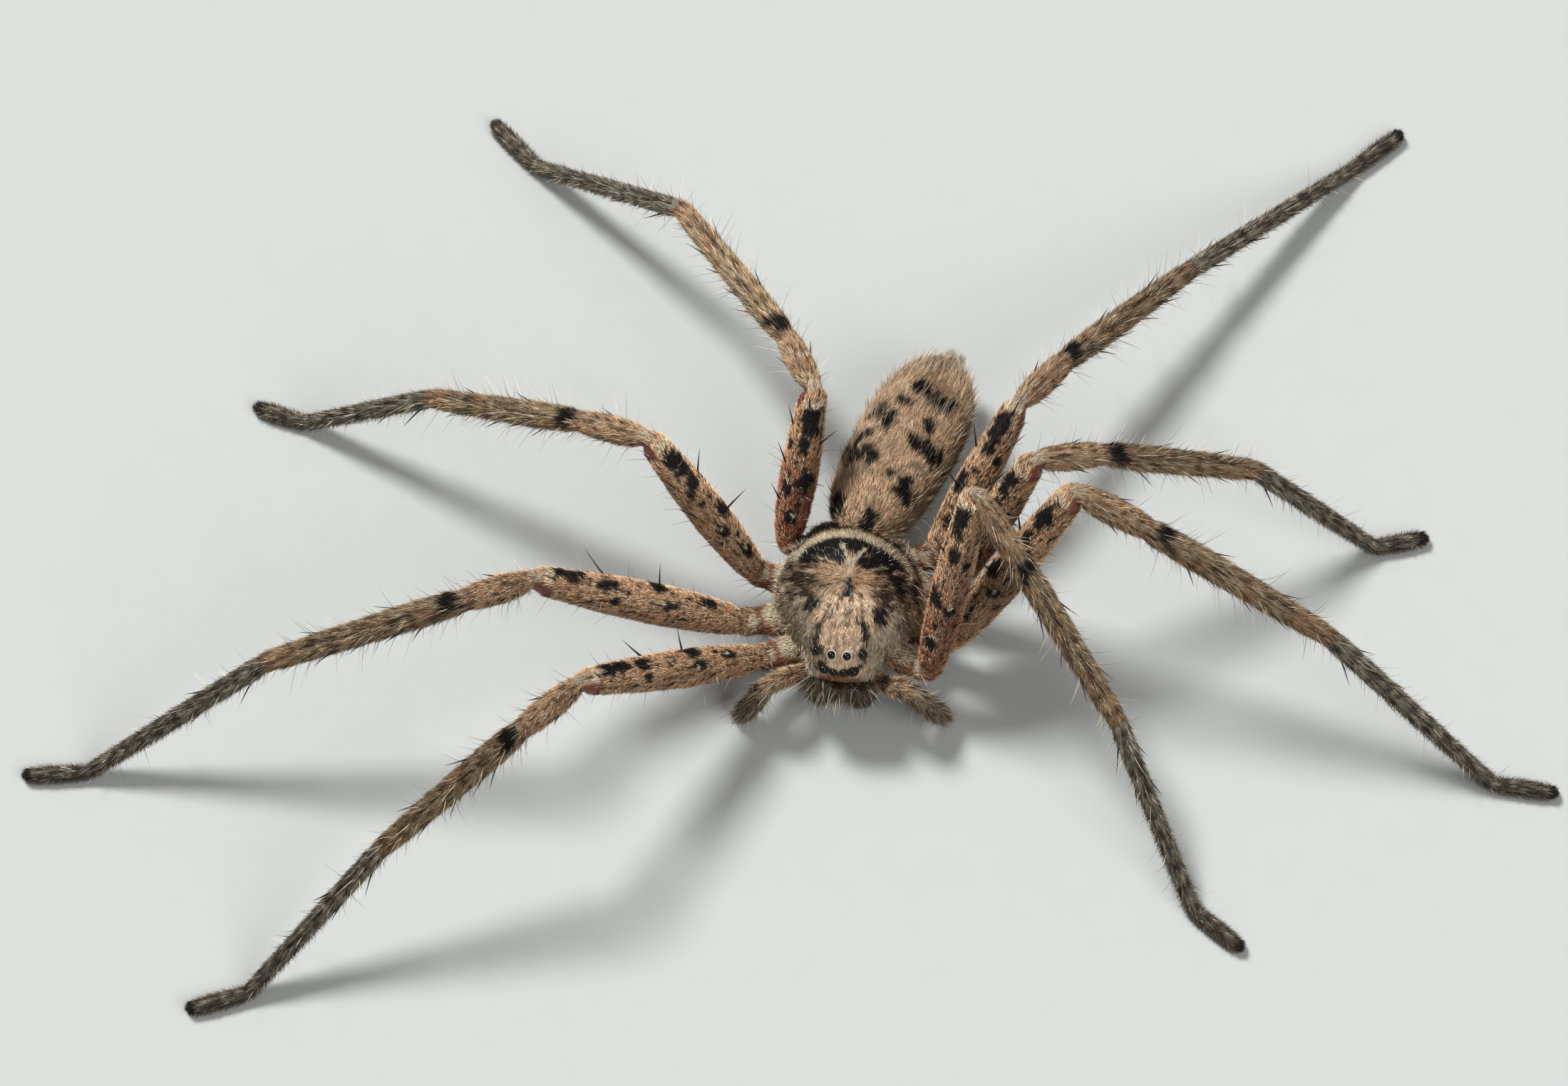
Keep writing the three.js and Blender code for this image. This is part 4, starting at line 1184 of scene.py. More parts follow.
# Marks of the shield, with places as out from the midline and back
CARAPACE_MARKS = (
    Mark(Tone.PALE, 1.1, ((-2.9, -0.9), (-2.3, -2.0), (-1.9, -3.2)), 0.9, 0.7),
    Mark(Tone.PALE, 1.1, ((2.9, -1.2), (2.3, -2.2), (1.9, -3.2)), 0.7, 0.8),
    Mark(Tone.BARK, 1.3, ((-2.6, 1.6), (-3.0, 0.6), (-2.5, -0.2)), 0.95, 1.0),
    Mark(Tone.BARK, 1.2, ((2.3, 1.3), (2.8, 0.6), (2.5, -0.5)), 0.95, 1.0),
    Mark(Tone.SOOT, 0.7, ((-2.11, -1.32), (-1.85, -1.3)), 0.95),
    Mark(Tone.SOOT, 0.95, ((2.17, -1.49),), 1.0),
    Mark(Tone.SOOT, 0.75, ((2.75, 0.95), (2.95, 0.4)), 0.9),
    Mark(Tone.SOOT, 0.4, ((2.4, 1.5), (3.1, 1.8)), 0.9),
    Mark(Tone.SOOT, 0.5, ((3.9, 0.9), (3.95, 0.2)), 0.7),
    Mark(Tone.SOOT, 0.5, ((3.5, -1.4), (3.2, -1.8)), 0.7),
    Mark(Tone.SOOT, 1.05, ((-2.55, 1.95), (-1.9, 2.45), (-1.0, 2.6), (0.0, 2.6), (1.0, 2.5),
                           (1.8, 2.2), (2.4, 1.75)), 1.0, 0.25),
    Mark(Tone.SOOT, 0.95, ((-1.6, 1.8), (-0.6, 1.85)), 1.0),
    Mark(Tone.SOOT, 0.95, ((0.6, 1.75), (1.7, 1.55)), 1.0),
    Mark(Tone.SOOT, 0.7, ((-2.3, 2.4), (-1.4, 2.9), (-0.3, 3.05), (0.9, 2.9), (1.9, 2.45)), 1.0, 0.25),
    Mark(Tone.CREAM, 0.54, ((-3.4, 1.95), (-2.78, 2.75), (-1.96, 3.2), (-1.16, 3.48),
                            (-0.29, 3.52), (0.57, 3.4), (1.44, 3.1), (2.31, 2.72), (3.08, 2.3),
                            (3.7, 1.7)), 1.0, 0.2),
    Mark(Tone.BLACK, 0.26, ((-3.3, 2.7), (-2.6, 3.4), (-1.8, 3.86), (-0.9, 4.08), (0.3, 4.08),
                            (1.3, 3.72), (2.4, 3.25), (3.4, 2.5), (4.0, 1.7)), 1.0, 0.2),
    Mark(Tone.BLACK, 0.45, ((-2.9, 3.4), (-2.2, 4.0), (-1.2, 4.35)), 1.0, 0.2),
    Mark(Tone.CREAM, 0.2, ((-0.66, 2.67), (-0.2, 1.9), (-0.02, 1.4)), 1.0),
    Mark(Tone.CREAM, 0.2, ((0.75, 2.52), (0.32, 1.85), (0.14, 1.4)), 1.0),
    Mark(Tone.CREAM, 0.5, ((0.04, 1.7), (0.08, 0.8)), 0.9, 0.5),
    Mark(Tone.CREAM, 0.13, ((-1.89, 1.7), (-1.4, 1.62), (-0.99, 1.3)), 1.0),
    Mark(Tone.CREAM, 0.13, ((1.4, 1.2), (1.8, 1.5), (2.16, 1.55)), 1.0),
    Mark(Tone.BLACK, 0.2, ((0.08, 0.5), (0.085, 0.2)), 1.0, 0.2),
    Mark(Tone.BLACK, 0.42, ((0.085, 0.15), (0.09, -0.1)), 1.0, 0.2),
    Mark(Tone.BLACK, 0.66, ((0.09, -0.2), (0.1, -0.36)), 1.0, 0.2),
    Mark(Tone.SOOT, 0.17, ((-0.12, -0.5), (-0.25, -1.0)), 0.9, 0.4),
    Mark(Tone.SOOT, 0.17, ((0.3, -0.5), (0.32, -1.05)), 0.9, 0.4),
    Mark(Tone.BROWN, 0.16, ((-0.35, -0.6), (-0.4, -1.5)), 0.7, 0.6),
    Mark(Tone.BROWN, 0.18, ((0.42, -0.8), (0.46, -1.75)), 0.7, 0.6),
    Mark(Tone.SOOT, 0.12, ((0.85, -0.3), (1.0, -1.4), (1.16, -2.4)), 0.8, 0.6),
    Mark(Tone.SOOT, 0.42, ((1.16, -2.3), (1.5, -3.3)), 0.95, 0.7),
    Mark(Tone.SOOT, 0.14, ((-0.85, -1.2), (-1.02, -1.94)), 0.8, 0.6),
    Mark(Tone.SOOT, 0.46, ((-1.3, -2.6), (-1.53, -3.55)), 0.9, 0.8),
    Mark(Tone.BROWN, 0.3, ((-0.45, -2.51),), 0.8),
    Mark(Tone.BROWN, 0.26, ((0.3, -2.44),), 0.8),
    Mark(Tone.BROWN, 0.3, ((-1.1, -2.2),), 0.8),
    Mark(Tone.BARK, 0.2, ((-0.65, -1.7), (-0.75, -2.1)), 0.8, 0.6),
    Mark(Tone.BARK, 0.2, ((0.1, -1.5), (0.12, -1.9)), 0.7, 0.6),
    Mark(Tone.BARK, 0.24, ((0.75, -2.0), (0.8, -2.2)), 0.8, 0.6),
    Mark(Tone.SOOT, 0.5, ((-1.24, -4.0), (-1.3, -3.8)), 0.9, 0.5),
    Mark(Tone.SOOT, 0.5, ((1.42, -3.95), (1.5, -3.75)), 0.9, 0.5),
    Mark(Tone.CREAM, 0.34, ((0.98, -4.0),), 1.0),
    Mark(Tone.PALE, 0.3, ((-1.15, -4.15),), 0.7),
    Mark(Tone.SOOT, 0.3, ((-1.3, -4.45), (-0.95, -4.6), (-0.6, -4.74), (0.0, -4.88), (0.6, -4.74),
                          (0.98, -4.62), (1.25, -4.42)), 0.95, 0.6),
)

# Grooves of the carapace: depth, width, and path as out and back
CARAPACE_GROOVES = (
    (0.16, 0.34, ((0.08, 0.25), (0.1, -0.55))),
    (0.12, 0.6, ((-0.5, 0.1), (-1.3, -1.2), (-2.2, -2.5))),
    (0.12, 0.6, ((0.6, 0.1), (1.4, -1.2), (2.2, -2.5))),
    (0.08, 0.55, ((-0.7, 0.4), (-2.1, -0.2), (-3.4, -0.5))),
    (0.08, 0.55, ((0.8, 0.4), (2.1, -0.2), (3.4, -0.5))),
    (0.08, 0.55, ((-0.6, 0.9), (-1.9, 1.2), (-3.1, 1.4))),
    (0.08, 0.55, ((0.7, 0.9), (1.9, 1.2), (3.1, 1.4))),
)

EYE_NAMES = tuple(f"{side}_eye_{place}" for side in ("right", "left")
                  for place in ("rear_middle", "rear_side", "front_side", "front_middle"))


@dataclass
class Carapace(Surface):
    """The shield over the thorax and head.

    At a place u back, a section's half width and heights come from cubic curves through the
    rows. Round it, out = half width * |cos v|^s, and the top rises by (sin v)^s, where s says
    how square the section is. Grooves sink the top and mounds raise it round the eyes.
    """

    rows_through: Array = field(default_factory=lambda: CARAPACE_ROWS)
    rim: float = 0.38
    round_end: float = 0.12
    mound: float = 0.14
    mound_reach: float = 1.5
    hairs: int = 32000
    margin_hairs: int = 1500
    white_hairs: int = 110

    # The way in which a mound rises, and how far the skin goes past the first and last rows
    MOUND_WAY = np.array([0.0, -0.45, 0.9])
    PAST_ENDS = (0.04, 0.06)
    # Rows of the mesh: their distances from an end, the pace of the others, and points round
    END_ROWS = (0.0, 0.006, 0.025, 0.06, 0.12)
    PACE = 0.09
    COLUMNS = 110
    # How far from its root a hair takes its tint, so that a mark lies where hairs show it
    DRIFT = 0.24

    def __post_init__(self) -> None:
        """Takes the ends from the rows and the eyes from the solids."""
        self.u_low = self.rows_through[0, 0] - self.PAST_ENDS[0]
        self.u_high = self.rows_through[-1, 0] + self.PAST_ENDS[1]
        corners = [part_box(name) for name in EYE_NAMES]
        self.eyes = np.array([(low + high) / 2.0 for low, high in corners]) / MM
        self.eye_radii = np.array([(high - low).z / 2.0 for low, high in corners]) / MM

    def measures(self, u: Array, v: Array) -> tuple[Array, Array]:
        """The place out from the midline, and the height, on the smooth shield.

        Args:
            u: places back.
            v: places round.

        Returns:
            How far out each place lies, and how high.
        """
        inside = np.clip(u, self.rows_through[0, 0], self.rows_through[-1, 0])
        half, margin, top, square = np.moveaxis(curve_through(self.rows_through, inside), -1, 0)
        near = np.minimum(u - self.u_low, self.u_high - u) / self.round_end
        shrink = np.sqrt(1.0 - (1.0 - np.clip(near, 0.0, 1.0)) ** 2)
        across, lift = np.cos(v), np.sin(v)
        out = np.sign(across) * np.abs(across) ** square * half * shrink
        middle = (margin + top) / 2.0
        above = (top - margin) * np.maximum(lift, 0.0) ** square
        below = self.rim * np.sqrt(np.maximum(-lift, 0.0))
        return out, middle + (margin + above - below - middle) * shrink

    def at(self, u: Array, v: Array) -> Array:
        """Points of the shield, with its grooves and eye mounds.

        Args:
            u: places back.
            v: places round.

        Returns:
            One point for each place.
        """
        out, height = self.measures(u, v)
        still = np.zeros_like(out)
        sunk = sum(depth * Mark(Tone.SOOT, width, path).cover(out, u, still)
                   for depth, width, path in CARAPACE_GROOVES)
        top = np.maximum(np.sin(v), 0.0)
        points = THORAX.place(out, u, height - sunk * top ** 0.5)
        reach = self.eye_radii * self.mound_reach
        gap = np.linalg.norm(points[..., None, :] - self.eyes, axis=-1) / reach
        lifted = (self.mound * np.exp(-gap ** 2)).sum(-1)
        return points + lifted[..., None] * self.MOUND_WAY

    def tint(self, u: Array, v: Array, drift: Array | float = 0.0) -> Array:
        """The markings of the shield, for its skin and its coat alike.

        Args:
            u: places back.
            v: places round.
            drift: how far out and back from its root a hair shows, so takes its tint.

        Returns:
            Linear colours.
        """
        out, height = self.measures(u, v)
        points = THORAX.place(out, u, height)
        out, u = np.moveaxis(np.stack([out, u], -1) + drift, -1, 0)
        noise = ripples(points, 0.55, 21) + 0.7 * ripples(points, 0.16, 22)
        colour = np.tile(Tone.TAN.linear, out.shape + (1,))
        edge = self.flank(out, u)
        colour = blend(colour, Tone.GREY, edge * 0.4)
        head = self.brow(out, u)
        colour = blend(colour, Tone.HEAD, head)
        fan = np.arctan2(out, u - 0.4)
        rays = ripples(np.stack([fan * 2.4, u * 0.3, out * 0.3], -1), 0.34, 23)
        side = step_between(0.9, 1.9, np.abs(out) - 0.45 * np.clip(u, -1.0, 1.5)) * (1.0 - head)
        mottle = 0.35 * rays + 0.8 * ripples(points, 0.9, 25) + 0.5 * ripples(points, 0.3, 26)
        dark = 0.55 + 0.4 * step_between(-2.2, -0.6, u)
        colour = blend(colour, Tone.PALE, step_between(0.0, -0.7, mottle) * side * 0.5)
        colour = blend(colour, Tone.BARK, step_between(0.0, 0.4, mottle) * side * dark)
        colour = blend(colour, Tone.BARK, step_between(0.5, 1.1, rays) * (1.0 - head) * 0.5)
        lines = flat_ripples(out, u * 0.16, 0.24, 24)
        colour = blend(colour, Tone.BARK, step_between(0.35, 1.0, lines) * head * 0.6)
        colour = blend(colour, Tone.PALE, step_between(0.1, 0.6, rays) * edge * 0.75)
        for mark in CARAPACE_MARKS:
            colour = blend(colour, mark.tone, mark.cover(out, u, noise))
        colour = blend(colour, Tone.PALE, step_between(0.75, 1.1, -rays) * side * (u < 1.4) * 0.6)
        colour = blend(colour, Tone.ORANGE, self.face_rim(u, v) * 0.8)
        return blend(colour, Tone.BROWN, (np.sin(v) < -0.2) * 0.7)

    def flank(self, out: Array, u: Array) -> Array:
        """How far a place lies out on the margin."""
        half = np.interp(u, self.rows_through[:, 0], self.rows_through[:, 1])
        return step_between(0.62, 0.95, np.abs(out) / half)

    @staticmethod
    def brow(out: Array, u: Array) -> Array:
        """How far a place lies on the pale top of the head, which also gets painted light on its skin
        and hair roots.
        """
        return (1.0 - step_between(1.2, 2.2, np.abs(out))) * (1.0 - step_between(-1.4, 0.6, u))

    @staticmethod
    def face_rim(u: Array, v: Array) -> Array:
        """How far a place lies on the smooth bare rim under the front eyes."""
        return step_between(-4.9, -4.97, u) * (np.sin(v) > -0.2)

    def skin(self, parts: MeshParts) -> None:
        """Adds the shield to the skin, with its rows closer together at both ends.

        Args:
            parts: the mesh of the skin.
        """
        length, last = self.u_high - self.u_low, self.END_ROWS[-1]
        inner = np.concatenate([self.END_ROWS[:-1], np.arange(last, length, self.PACE)])
        rows = self.u_low + inner[inner < length - last - 0.01]
        rows = np.concatenate([rows, self.u_high - np.array(self.END_ROWS[::-1])])
        points, faces, u, v = self.grid(rows, self.COLUMNS)
        # Painted shade between the hairs darkens the skin; less on the bare rim, and less on the top
        # of the head, as painted light
        shade = 0.3 + 0.4 * np.maximum(self.face_rim(u, v), self.brow(self.measures(u, v)[0], u))
        parts.add(points, faces, self.tint(u, v) * shade[:, None])

    def flow(self, u: Array, v: Array, points: Array) -> Array:
        """The way the hair lies: out from the fovea, straight ahead on the head, with swirls.

        Args:
            u: places back.
            v: places round.
            points: the same places on the skin.

        Returns:
            Steps out from the midline and back, each of about length 1.
        """
        out = self.measures(u, v)[0]
        radial = unit(np.stack([out - 0.1, u - 0.5], -1))
        forward = (1.0 - step_between(1.4, 2.6, np.abs(out))) * (1.0 - step_between(-1.6, 0.2, u))
        flow = radial * (1.0 - forward)[..., None] + np.array([0.0, -1.0]) * forward[..., None]
        swirl = 0.35 * ripples(points, 2.4, 31)
        out, back = flow[..., 0], flow[..., 1]
        return np.stack([out - swirl * back, back + swirl * out], -1)

    def lie(self, u: Array, v: Array, points: Array) -> Array:
        """The way the hair lies, as unit directions in the model.

        Args:
            u: places back.
            v: places round.
            points: the same places on the skin.

        Returns:
            One direction for each place.
        """
        flow = self.flow(u, v, points)
        across = THORAX.place(1.0, 0.0, 4.0) - THORAX.place(0.0, 0.0, 4.0)
        behind = THORAX.place(0.0, 1.0, 4.0) - THORAX.place(0.0, 0.0, 4.0)
        return unit(flow[..., :1] * across + flow[..., 1:] * behind)

    def clear_of_eyes(self, points: Array) -> Array:
        """Finds roots that stand off the middle rear eyes, and hardly reach under the others.

        Args:
            points: the roots.

        Returns:
            True where a hair may grow.
        """
        gap = np.linalg.norm(points[:, None] - self.eyes, axis=-1)
        room = np.where(["rear_middle" in name for name in EYE_NAMES], 0.12, -0.12)
        return (gap > self.eye_radii + room).all(-1)

    def coat(self) -> None:
        """Grows the short hair of the shield, its fringe and the white hairs of the dark band."""
        parts = MeshParts()
        u, v = self.cells()
        density = np.where(np.sin(v) > -0.1, 1.0, 0.15) * np.where(u < -1.5, 1.25, 1.0)
        density = density * (1.0 - 0.9 * self.face_rim(u, v))
        u, v = self.scatter(self.hairs, density, 501)
        root, _, normal = self.frames(u, v)
        keep = self.clear_of_eyes(root)
        u, v, root, normal = u[keep], v[keep], root[keep], normal[keep]
        maps = self.maps(u, v)
        size = np.where(u < -3.2, 0.72, 1.0)
        out = self.measures(u, v)[0]
        tint = self.tint(u, v, self.flow(u, v, root) * self.DRIFT * size[:, None])
        tint = salted(tint, 0.05 + 0.14 * self.flank(out, u), 503)
        lie, head = self.lie(u, v, root), self.brow(out, u) > 0.5
        # Hair on the top of the head gets less painted shade at its roots, as painted light
        for chosen, kind, seed in ((~head, SHIELD_HAIR, 502), (head, HEAD_HAIR, 504)):
            strands(parts, kind, root[chosen], lie[chosen], normal[chosen], tint[chosen],
                    maps[chosen], seed, size[chosen])
        self.fringe(parts)
        parts.build("carapace_coat", COAT)

    def fringe(self, parts: MeshParts) -> None:
        """Adds longer pale hairs along the margin, and loose white ones on the dark band.

        Args:
            parts: the mesh of the coat.
        """
        draw = np.random.default_rng(540)
        count = self.margin_hairs
        u = draw.uniform(-4.6, 4.4, count)
        v = np.where(draw.random(count) < 0.5, 0.0, np.pi) + draw.normal(0.0, 0.22, count)
        root, _, normal = self.frames(u, v)
        tint = even(Tone.PALE, count, 0.85)
        strands(parts, MARGIN_HAIR, root, self.lie(u, v, root), normal, tint, self.maps(u, v), 541)
        count = self.white_hairs
        u, v = draw.uniform(1.7, 3.0, count), draw.uniform(0.3, np.pi - 0.3, count)
        root, _, normal = self.frames(u, v)
        tint = even(Tone.WHITE, count)
        strands(parts, WHITE_HAIR, root, self.lie(u, v, root), normal, tint, self.maps(u, v), 542)


@dataclass
class Eyes:
    """The eight eyes in two rows: polished domes, the rear middle pair with pale rims.

    A rim is a ring of tube. Its radius and how far it stands out are beside the eye's radius,
    and rim_thick is half its own thickness, in millimetres.
    """

    shield: Carapace
    rim_radius: float = 1.04
    rim_out: float = 0.08
    rim_thick: float = 0.045

    # Points round the ring, and round the tube it is made of
    RING = 32
    TUBE = 8
    # Rows and columns of a lens
    LENS_ROWS = 17
    LENS_COLUMNS = 28
    # A point inside the head, from which the rims face away: out, back and height
    HEAD_MIDDLE = (0.0, -3.2, 4.6)

    def build(self) -> None:
        """Makes each lens at its node's place and size, and the rims as one piece."""
        for name, centre, radius in zip(EYE_NAMES, self.shield.eyes, self.shield.eye_radii):
            parts = MeshParts()
            knots = centre + np.array([[0.0, 0.0, -radius], [0.0, 0.0, radius]])
            girth = np.array([(0.0, radius, radius), (2 * radius, radius, radius)])
            ball = Limb(knots=knots, girth=girth, soften=0.0, up=np.array([0.0, 1.0, 0.0]),
                        caps=(radius, radius))
            turn = np.cos(np.linspace(np.pi, 0.0, self.LENS_ROWS))
            points, faces, _, _ = ball.grid(radius * (1.0 + turn), self.LENS_COLUMNS)
            parts.add(points, faces, even(Tone.BLACK, len(points)))
            lens = parts.build(f"{name}_lens", LENS)
            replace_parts(lens, name)
        self.rims()

    def rims(self) -> None:
        """Makes the rims: a thin ring round each eye where it leaves the skin."""
        parts = MeshParts()
        outward = unit(self.shield.eyes - THORAX.place(*self.HEAD_MIDDLE))
        for name, centre, radius, out in zip(
                EYE_NAMES, self.shield.eyes, self.shield.eye_radii, outward):
            side = unit(np.cross(out, UP))
            up = np.cross(side, out)
            turns = np.linspace(0.0, 2.0 * np.pi, self.RING + 1)[:-1]
            spoke = side * np.cos(turns)[:, None] + up * np.sin(turns)[:, None]
            bend = np.linspace(0.0, 2.0 * np.pi, self.TUBE + 1)[:-1]
            ring = (centre + out * radius * self.rim_out + spoke[:, None] * (
                radius * self.rim_radius + self.rim_thick * np.cos(bend))[None, :, None]
                + out * (self.rim_thick * np.sin(bend))[None, :, None])
            first = np.arange(self.RING)[:, None] * self.TUBE
            here = first + np.arange(self.TUBE)
            across = first + (np.arange(self.TUBE) + 1) % self.TUBE
            count = self.RING * self.TUBE
            ahead, corner = (here + self.TUBE) % count, (across + self.TUBE) % count
            faces = np.concatenate([np.stack([here, corner, ahead], -1),
                                    np.stack([here, across, corner], -1)]).reshape(-1, 3)
            tone = Tone.PALE if "rear_middle" in name else Tone.SOOT
            parts.add(ring.reshape(-1, 3), faces, even(tone, count, 0.65))
        parts.build("eye_rims", SKIN)


# Marks of the abdomen, with places as along it and across it
ABDOMEN_MARKS = (
    Mark(Tone.ORANGE, 2.2, ((10.2, -0.2), (9.8, -1.0)), 0.4, 0.8),
    Mark(Tone.SOOT, 0.95, ((9.35, 0.8), (9.2, 0.2)), 1.0, 0.35),
    Mark(Tone.SOOT, 1.1, ((9.05, -0.55), (8.95, -1.35)), 1.0, 0.35),
    Mark(Tone.SOOT, 0.55, ((9.2, 0.15), (9.05, -0.5)), 0.9),
    Mark(Tone.SOOT, 0.65, ((7.9, 1.25), (8.05, 0.85)), 0.95, 0.5),
    Mark(Tone.SOOT, 0.75, ((7.5, -1.07), (7.1, -1.25)), 1.0, 0.45),
    Mark(Tone.SOOT, 1.2, ((6.5, 1.3), (6.6, 1.45)), 1.0, 0.4),
    Mark(Tone.SOOT, 0.9, ((7.2, 2.1), (6.6, 1.9)), 0.9, 0.8),
    Mark(Tone.SOOT, 0.7, ((5.44, 2.25),), 0.95, 0.5),
    Mark(Tone.SOOT, 1.1, ((4.0, 2.2), (4.5, 2.0)), 0.95, 0.7),
    Mark(Tone.SOOT, 0.8, ((4.04, 1.22),), 1.0, 0.4),
    Mark(Tone.SOOT, 0.95, ((6.05, -0.75), (5.95, -1.15)), 1.0, 0.4),
    Mark(Tone.SOOT, 1.0, ((5.95, -1.5), (5.8, -2.2)), 1.0, 0.45),
    Mark(Tone.SOOT, 0.42, ((3.75, -0.35), (3.65, -0.6)), 0.9),
    Mark(Tone.SOOT, 0.45, ((3.32, 0.36),), 0.75, 0.8),
    Mark(Tone.SOOT, 1.15, ((3.65, -1.45), (3.3, -1.55)), 1.0, 0.5),
    Mark(Tone.SOOT, 0.6, ((4.9, -1.75),), 0.6, 0.9),
    Mark(Tone.SOOT, 0.8, ((1.3, 1.75), (1.0, 1.7)), 0.95, 0.5),
    Mark(Tone.SOOT, 0.95, ((0.95, -0.35),), 1.0, 0.45),
    Mark(Tone.BROWN, 0.6, ((0.9, -1.3),), 0.7, 0.9),
)


@dataclass
class Abdomen:
    """The egg-shaped abdomen with the short waist before it and the spinnerets behind.

    The skin lies inside the profile by the coat's depth.
    """

    front: tuple[float, float, float] = (3.698, 0.044, 3.95)
    heading: float = 62.0
    length: float = 12.3
    coat_depth: float = 0.2
    hairs: int = 40000
    spinneret_hairs: int = 320
    # How far along, half width, half height and lift of the axis
    profile: tuple[tuple[float, ...], ...] = (
        (0.0, 1.0, 0.9, 0.1), (0.04, 1.75, 1.5, 0.1), (0.12, 2.4, 2.05, 0.1), (0.25, 2.85, 2.5, 0.1),
        (0.42, 3.05, 2.72, 0.05), (0.6, 3.08, 2.72, 0.0), (0.76, 2.8, 2.45, 0.0),
        (0.88, 2.2, 1.9, 0.05), (0.96, 1.35, 1.2, 0.1), (1.0, 0.75, 0.7, 0.15),
    )

    # How far from its root a hair takes its tint
    DRIFT = 0.3

    def __post_init__(self) -> None:
        """Lays the tube of the skin along the axis."""
        rows = np.array(self.profile)
        fine = np.linspace(0.0, 1.0, 60)
        wide, high, lift = curve_through(rows, fine).T
        ahead = heading_of(self.heading, 0.0)
        knots = np.array(self.front) + fine[:, None] * self.length * ahead + lift[:, None] * UP
        girth = np.stack([fine * self.length, wide - self.coat_depth, high - self.coat_depth], -1)
        self.tube = Limb(knots=knots, girth=girth, soften=0.2, caps=(0.5, 0.8))
        self.spinnerets = self.lay_spinnerets()

    def tint(self, u: Array, v: Array, drift: Array | float = 0.0) -> Array:
        """The markings of the abdomen, for its skin and its coat alike.

        Args:
            u: places along.
            v: places round.
            drift: how far along and across from its root a hair shows, so takes its tint.

        Returns:
            Linear colours.
        """
        points = self.tube.at(u, v)
        noise = ripples(points, 0.6, 61) + 0.8 * ripples(points, 0.17, 62)
        across = self.tube.read(self.tube.half, u)[..., 0] * np.sin(v)
        u, across = np.moveaxis(np.stack([u, across], -1) + drift, -1, 0)
        colour = np.tile(Tone.GOLD.linear, u.shape + (1,))
        colour = blend(colour, Tone.STRAW, step_between(-0.2, 0.9, ripples(points, 1.4, 63)) * 0.55)
        low = step_between(0.75, -0.1, np.cos(v))
        colour = blend(colour, Tone.OLIVE, low * 0.75)
        colour = blend(colour, Tone.GREY, step_between(10.4, 12.0, u) * 0.6)
        streaks = flat_ripples(u * 0.3, across, 0.24, 65)
        colour = blend(colour, Tone.BARK, step_between(0.3, 1.1, streaks + 0.4 * noise) * 0.3)
        colour = blend(colour, Tone.CREAM, step_between(0.3, 1.1, -streaks) * 0.45 * (1.0 - low))
        shown = step_between(-0.15, 0.1, np.cos(v))
        for mark in ABDOMEN_MARKS:
            colour = blend(colour, mark.tone, mark.cover(u, across, noise) * shown)
        return colour

    def skin(self, parts: MeshParts) -> None:
        """Adds the abdomen, the waist and the four spinnerets to the skin.

        Args:
            parts: the mesh of the skin.
        """
        points, faces, u, v = self.tube.mesh(pace=0.16, columns=72)
        # The skin is darkened as painted shade between the hairs
        parts.add(points, faces, self.tint(u, v) * 0.4)
        ahead = heading_of(self.heading, 0.0)
        inside = np.array([self.front[0], self.front[1], 3.0]) + ahead
        waist = Limb(knots=np.array([THORAX.place(0.0, 2.6, 2.75), inside]),
                     girth=np.array([(0.0, 0.42, 0.42), (3.0, 0.42, 0.42)]), caps=(0.2, 0.2))
        self.plain(parts, waist, Tone.BROWN, 0.25)
        for cone in self.spinnerets:
            self.plain(parts, cone, Tone.OLIVE, 0.12)

    def lay_spinnerets(self) -> list[Limb]:
        """Lays four short cones at the tail, two above and two below.

        Returns:
            Their tubes.
        """
        ahead = heading_of(self.heading, 0.0)
        tail = np.array(self.front) + ahead * (self.length - 0.9)
        side = np.cross(UP, ahead)
        tip = heading_of(self.heading, -10.0)
        girth = np.array([(0.0, 0.26, 0.26), (0.9, 0.2, 0.2), (1.35, 0.12, 0.12)])
        roots = [tail + side * out - UP * drop for out in (-0.32, 0.32) for drop in (0.0, 0.5)]
        return [Limb(knots=np.array([root, root + tip * 1.35]), girth=girth, caps=(0.2, 0.14))
                for root in roots]

    @staticmethod
    def plain(parts: MeshParts, tube: Limb, tone: Tone, pace: float) -> None:
        """Adds a small tube of one tone to the skin."""
        points, faces, _, _ = tube.mesh(pace, columns=16)
        parts.add(points, faces, even(tone, len(points), 0.6))

    def coat(self) -> None:
        """Grows the hair, which lies to the rear and swirls outwards, with longer hairs among it."""
        parts = MeshParts()
        u, v = self.tube.cells()
        density = np.where(np.cos(v) < -0.3, 0.55, 1.0)
        u, v = self.tube.scatter(self.hairs, density, 601)
        root, along, normal = self.tube.frames(u, v)
        around = np.cross(normal, along)
        turned = 0.45 * np.sin(v) + 0.3 * ripples(root, 3.0, 64)
        lie = unit(along - around * turned[:, None])
        maps = self.tube.maps(u, v)
        drift = np.stack([np.full(len(u), self.DRIFT), self.DRIFT * turned * np.cos(v)], -1)
        tint = salted(self.tint(u, v, drift), 0.06 + 0.1 * step_between(0.6, 0.2, np.cos(v)), 605)
        strands(parts, ABDOMEN_HAIR, root, lie, normal, tint, maps, 602)
        draw = np.random.default_rng(603)
        chosen = draw.random(len(u)) < 0.03 + 0.06 * step_between(0.55, 1.0, u / self.tube.u_high)
        tint = self.tint(u[chosen], v[chosen]) * 0.4 + Tone.PALE.linear * 0.45
        strands(parts, ABDOMEN_LONG_HAIR, root[chosen], lie[chosen], normal[chosen], tint,
                maps[chosen], 604)
        for i, cone in enumerate(self.spinnerets):
            u, v = cone.scatter(self.spinneret_hairs, None, 606 + i)
            root, along, normal = cone.frames(u, v)
            tint = even(Tone.PALE, len(u), 0.7)
            maps = np.tile([0.99, 0.2 * (i + 1)], (len(u), 1))
            strands(parts, SPINNERET_HAIR, root, along, normal, tint, maps, 611 + i)
        parts.build("abdomen_coat", COAT)


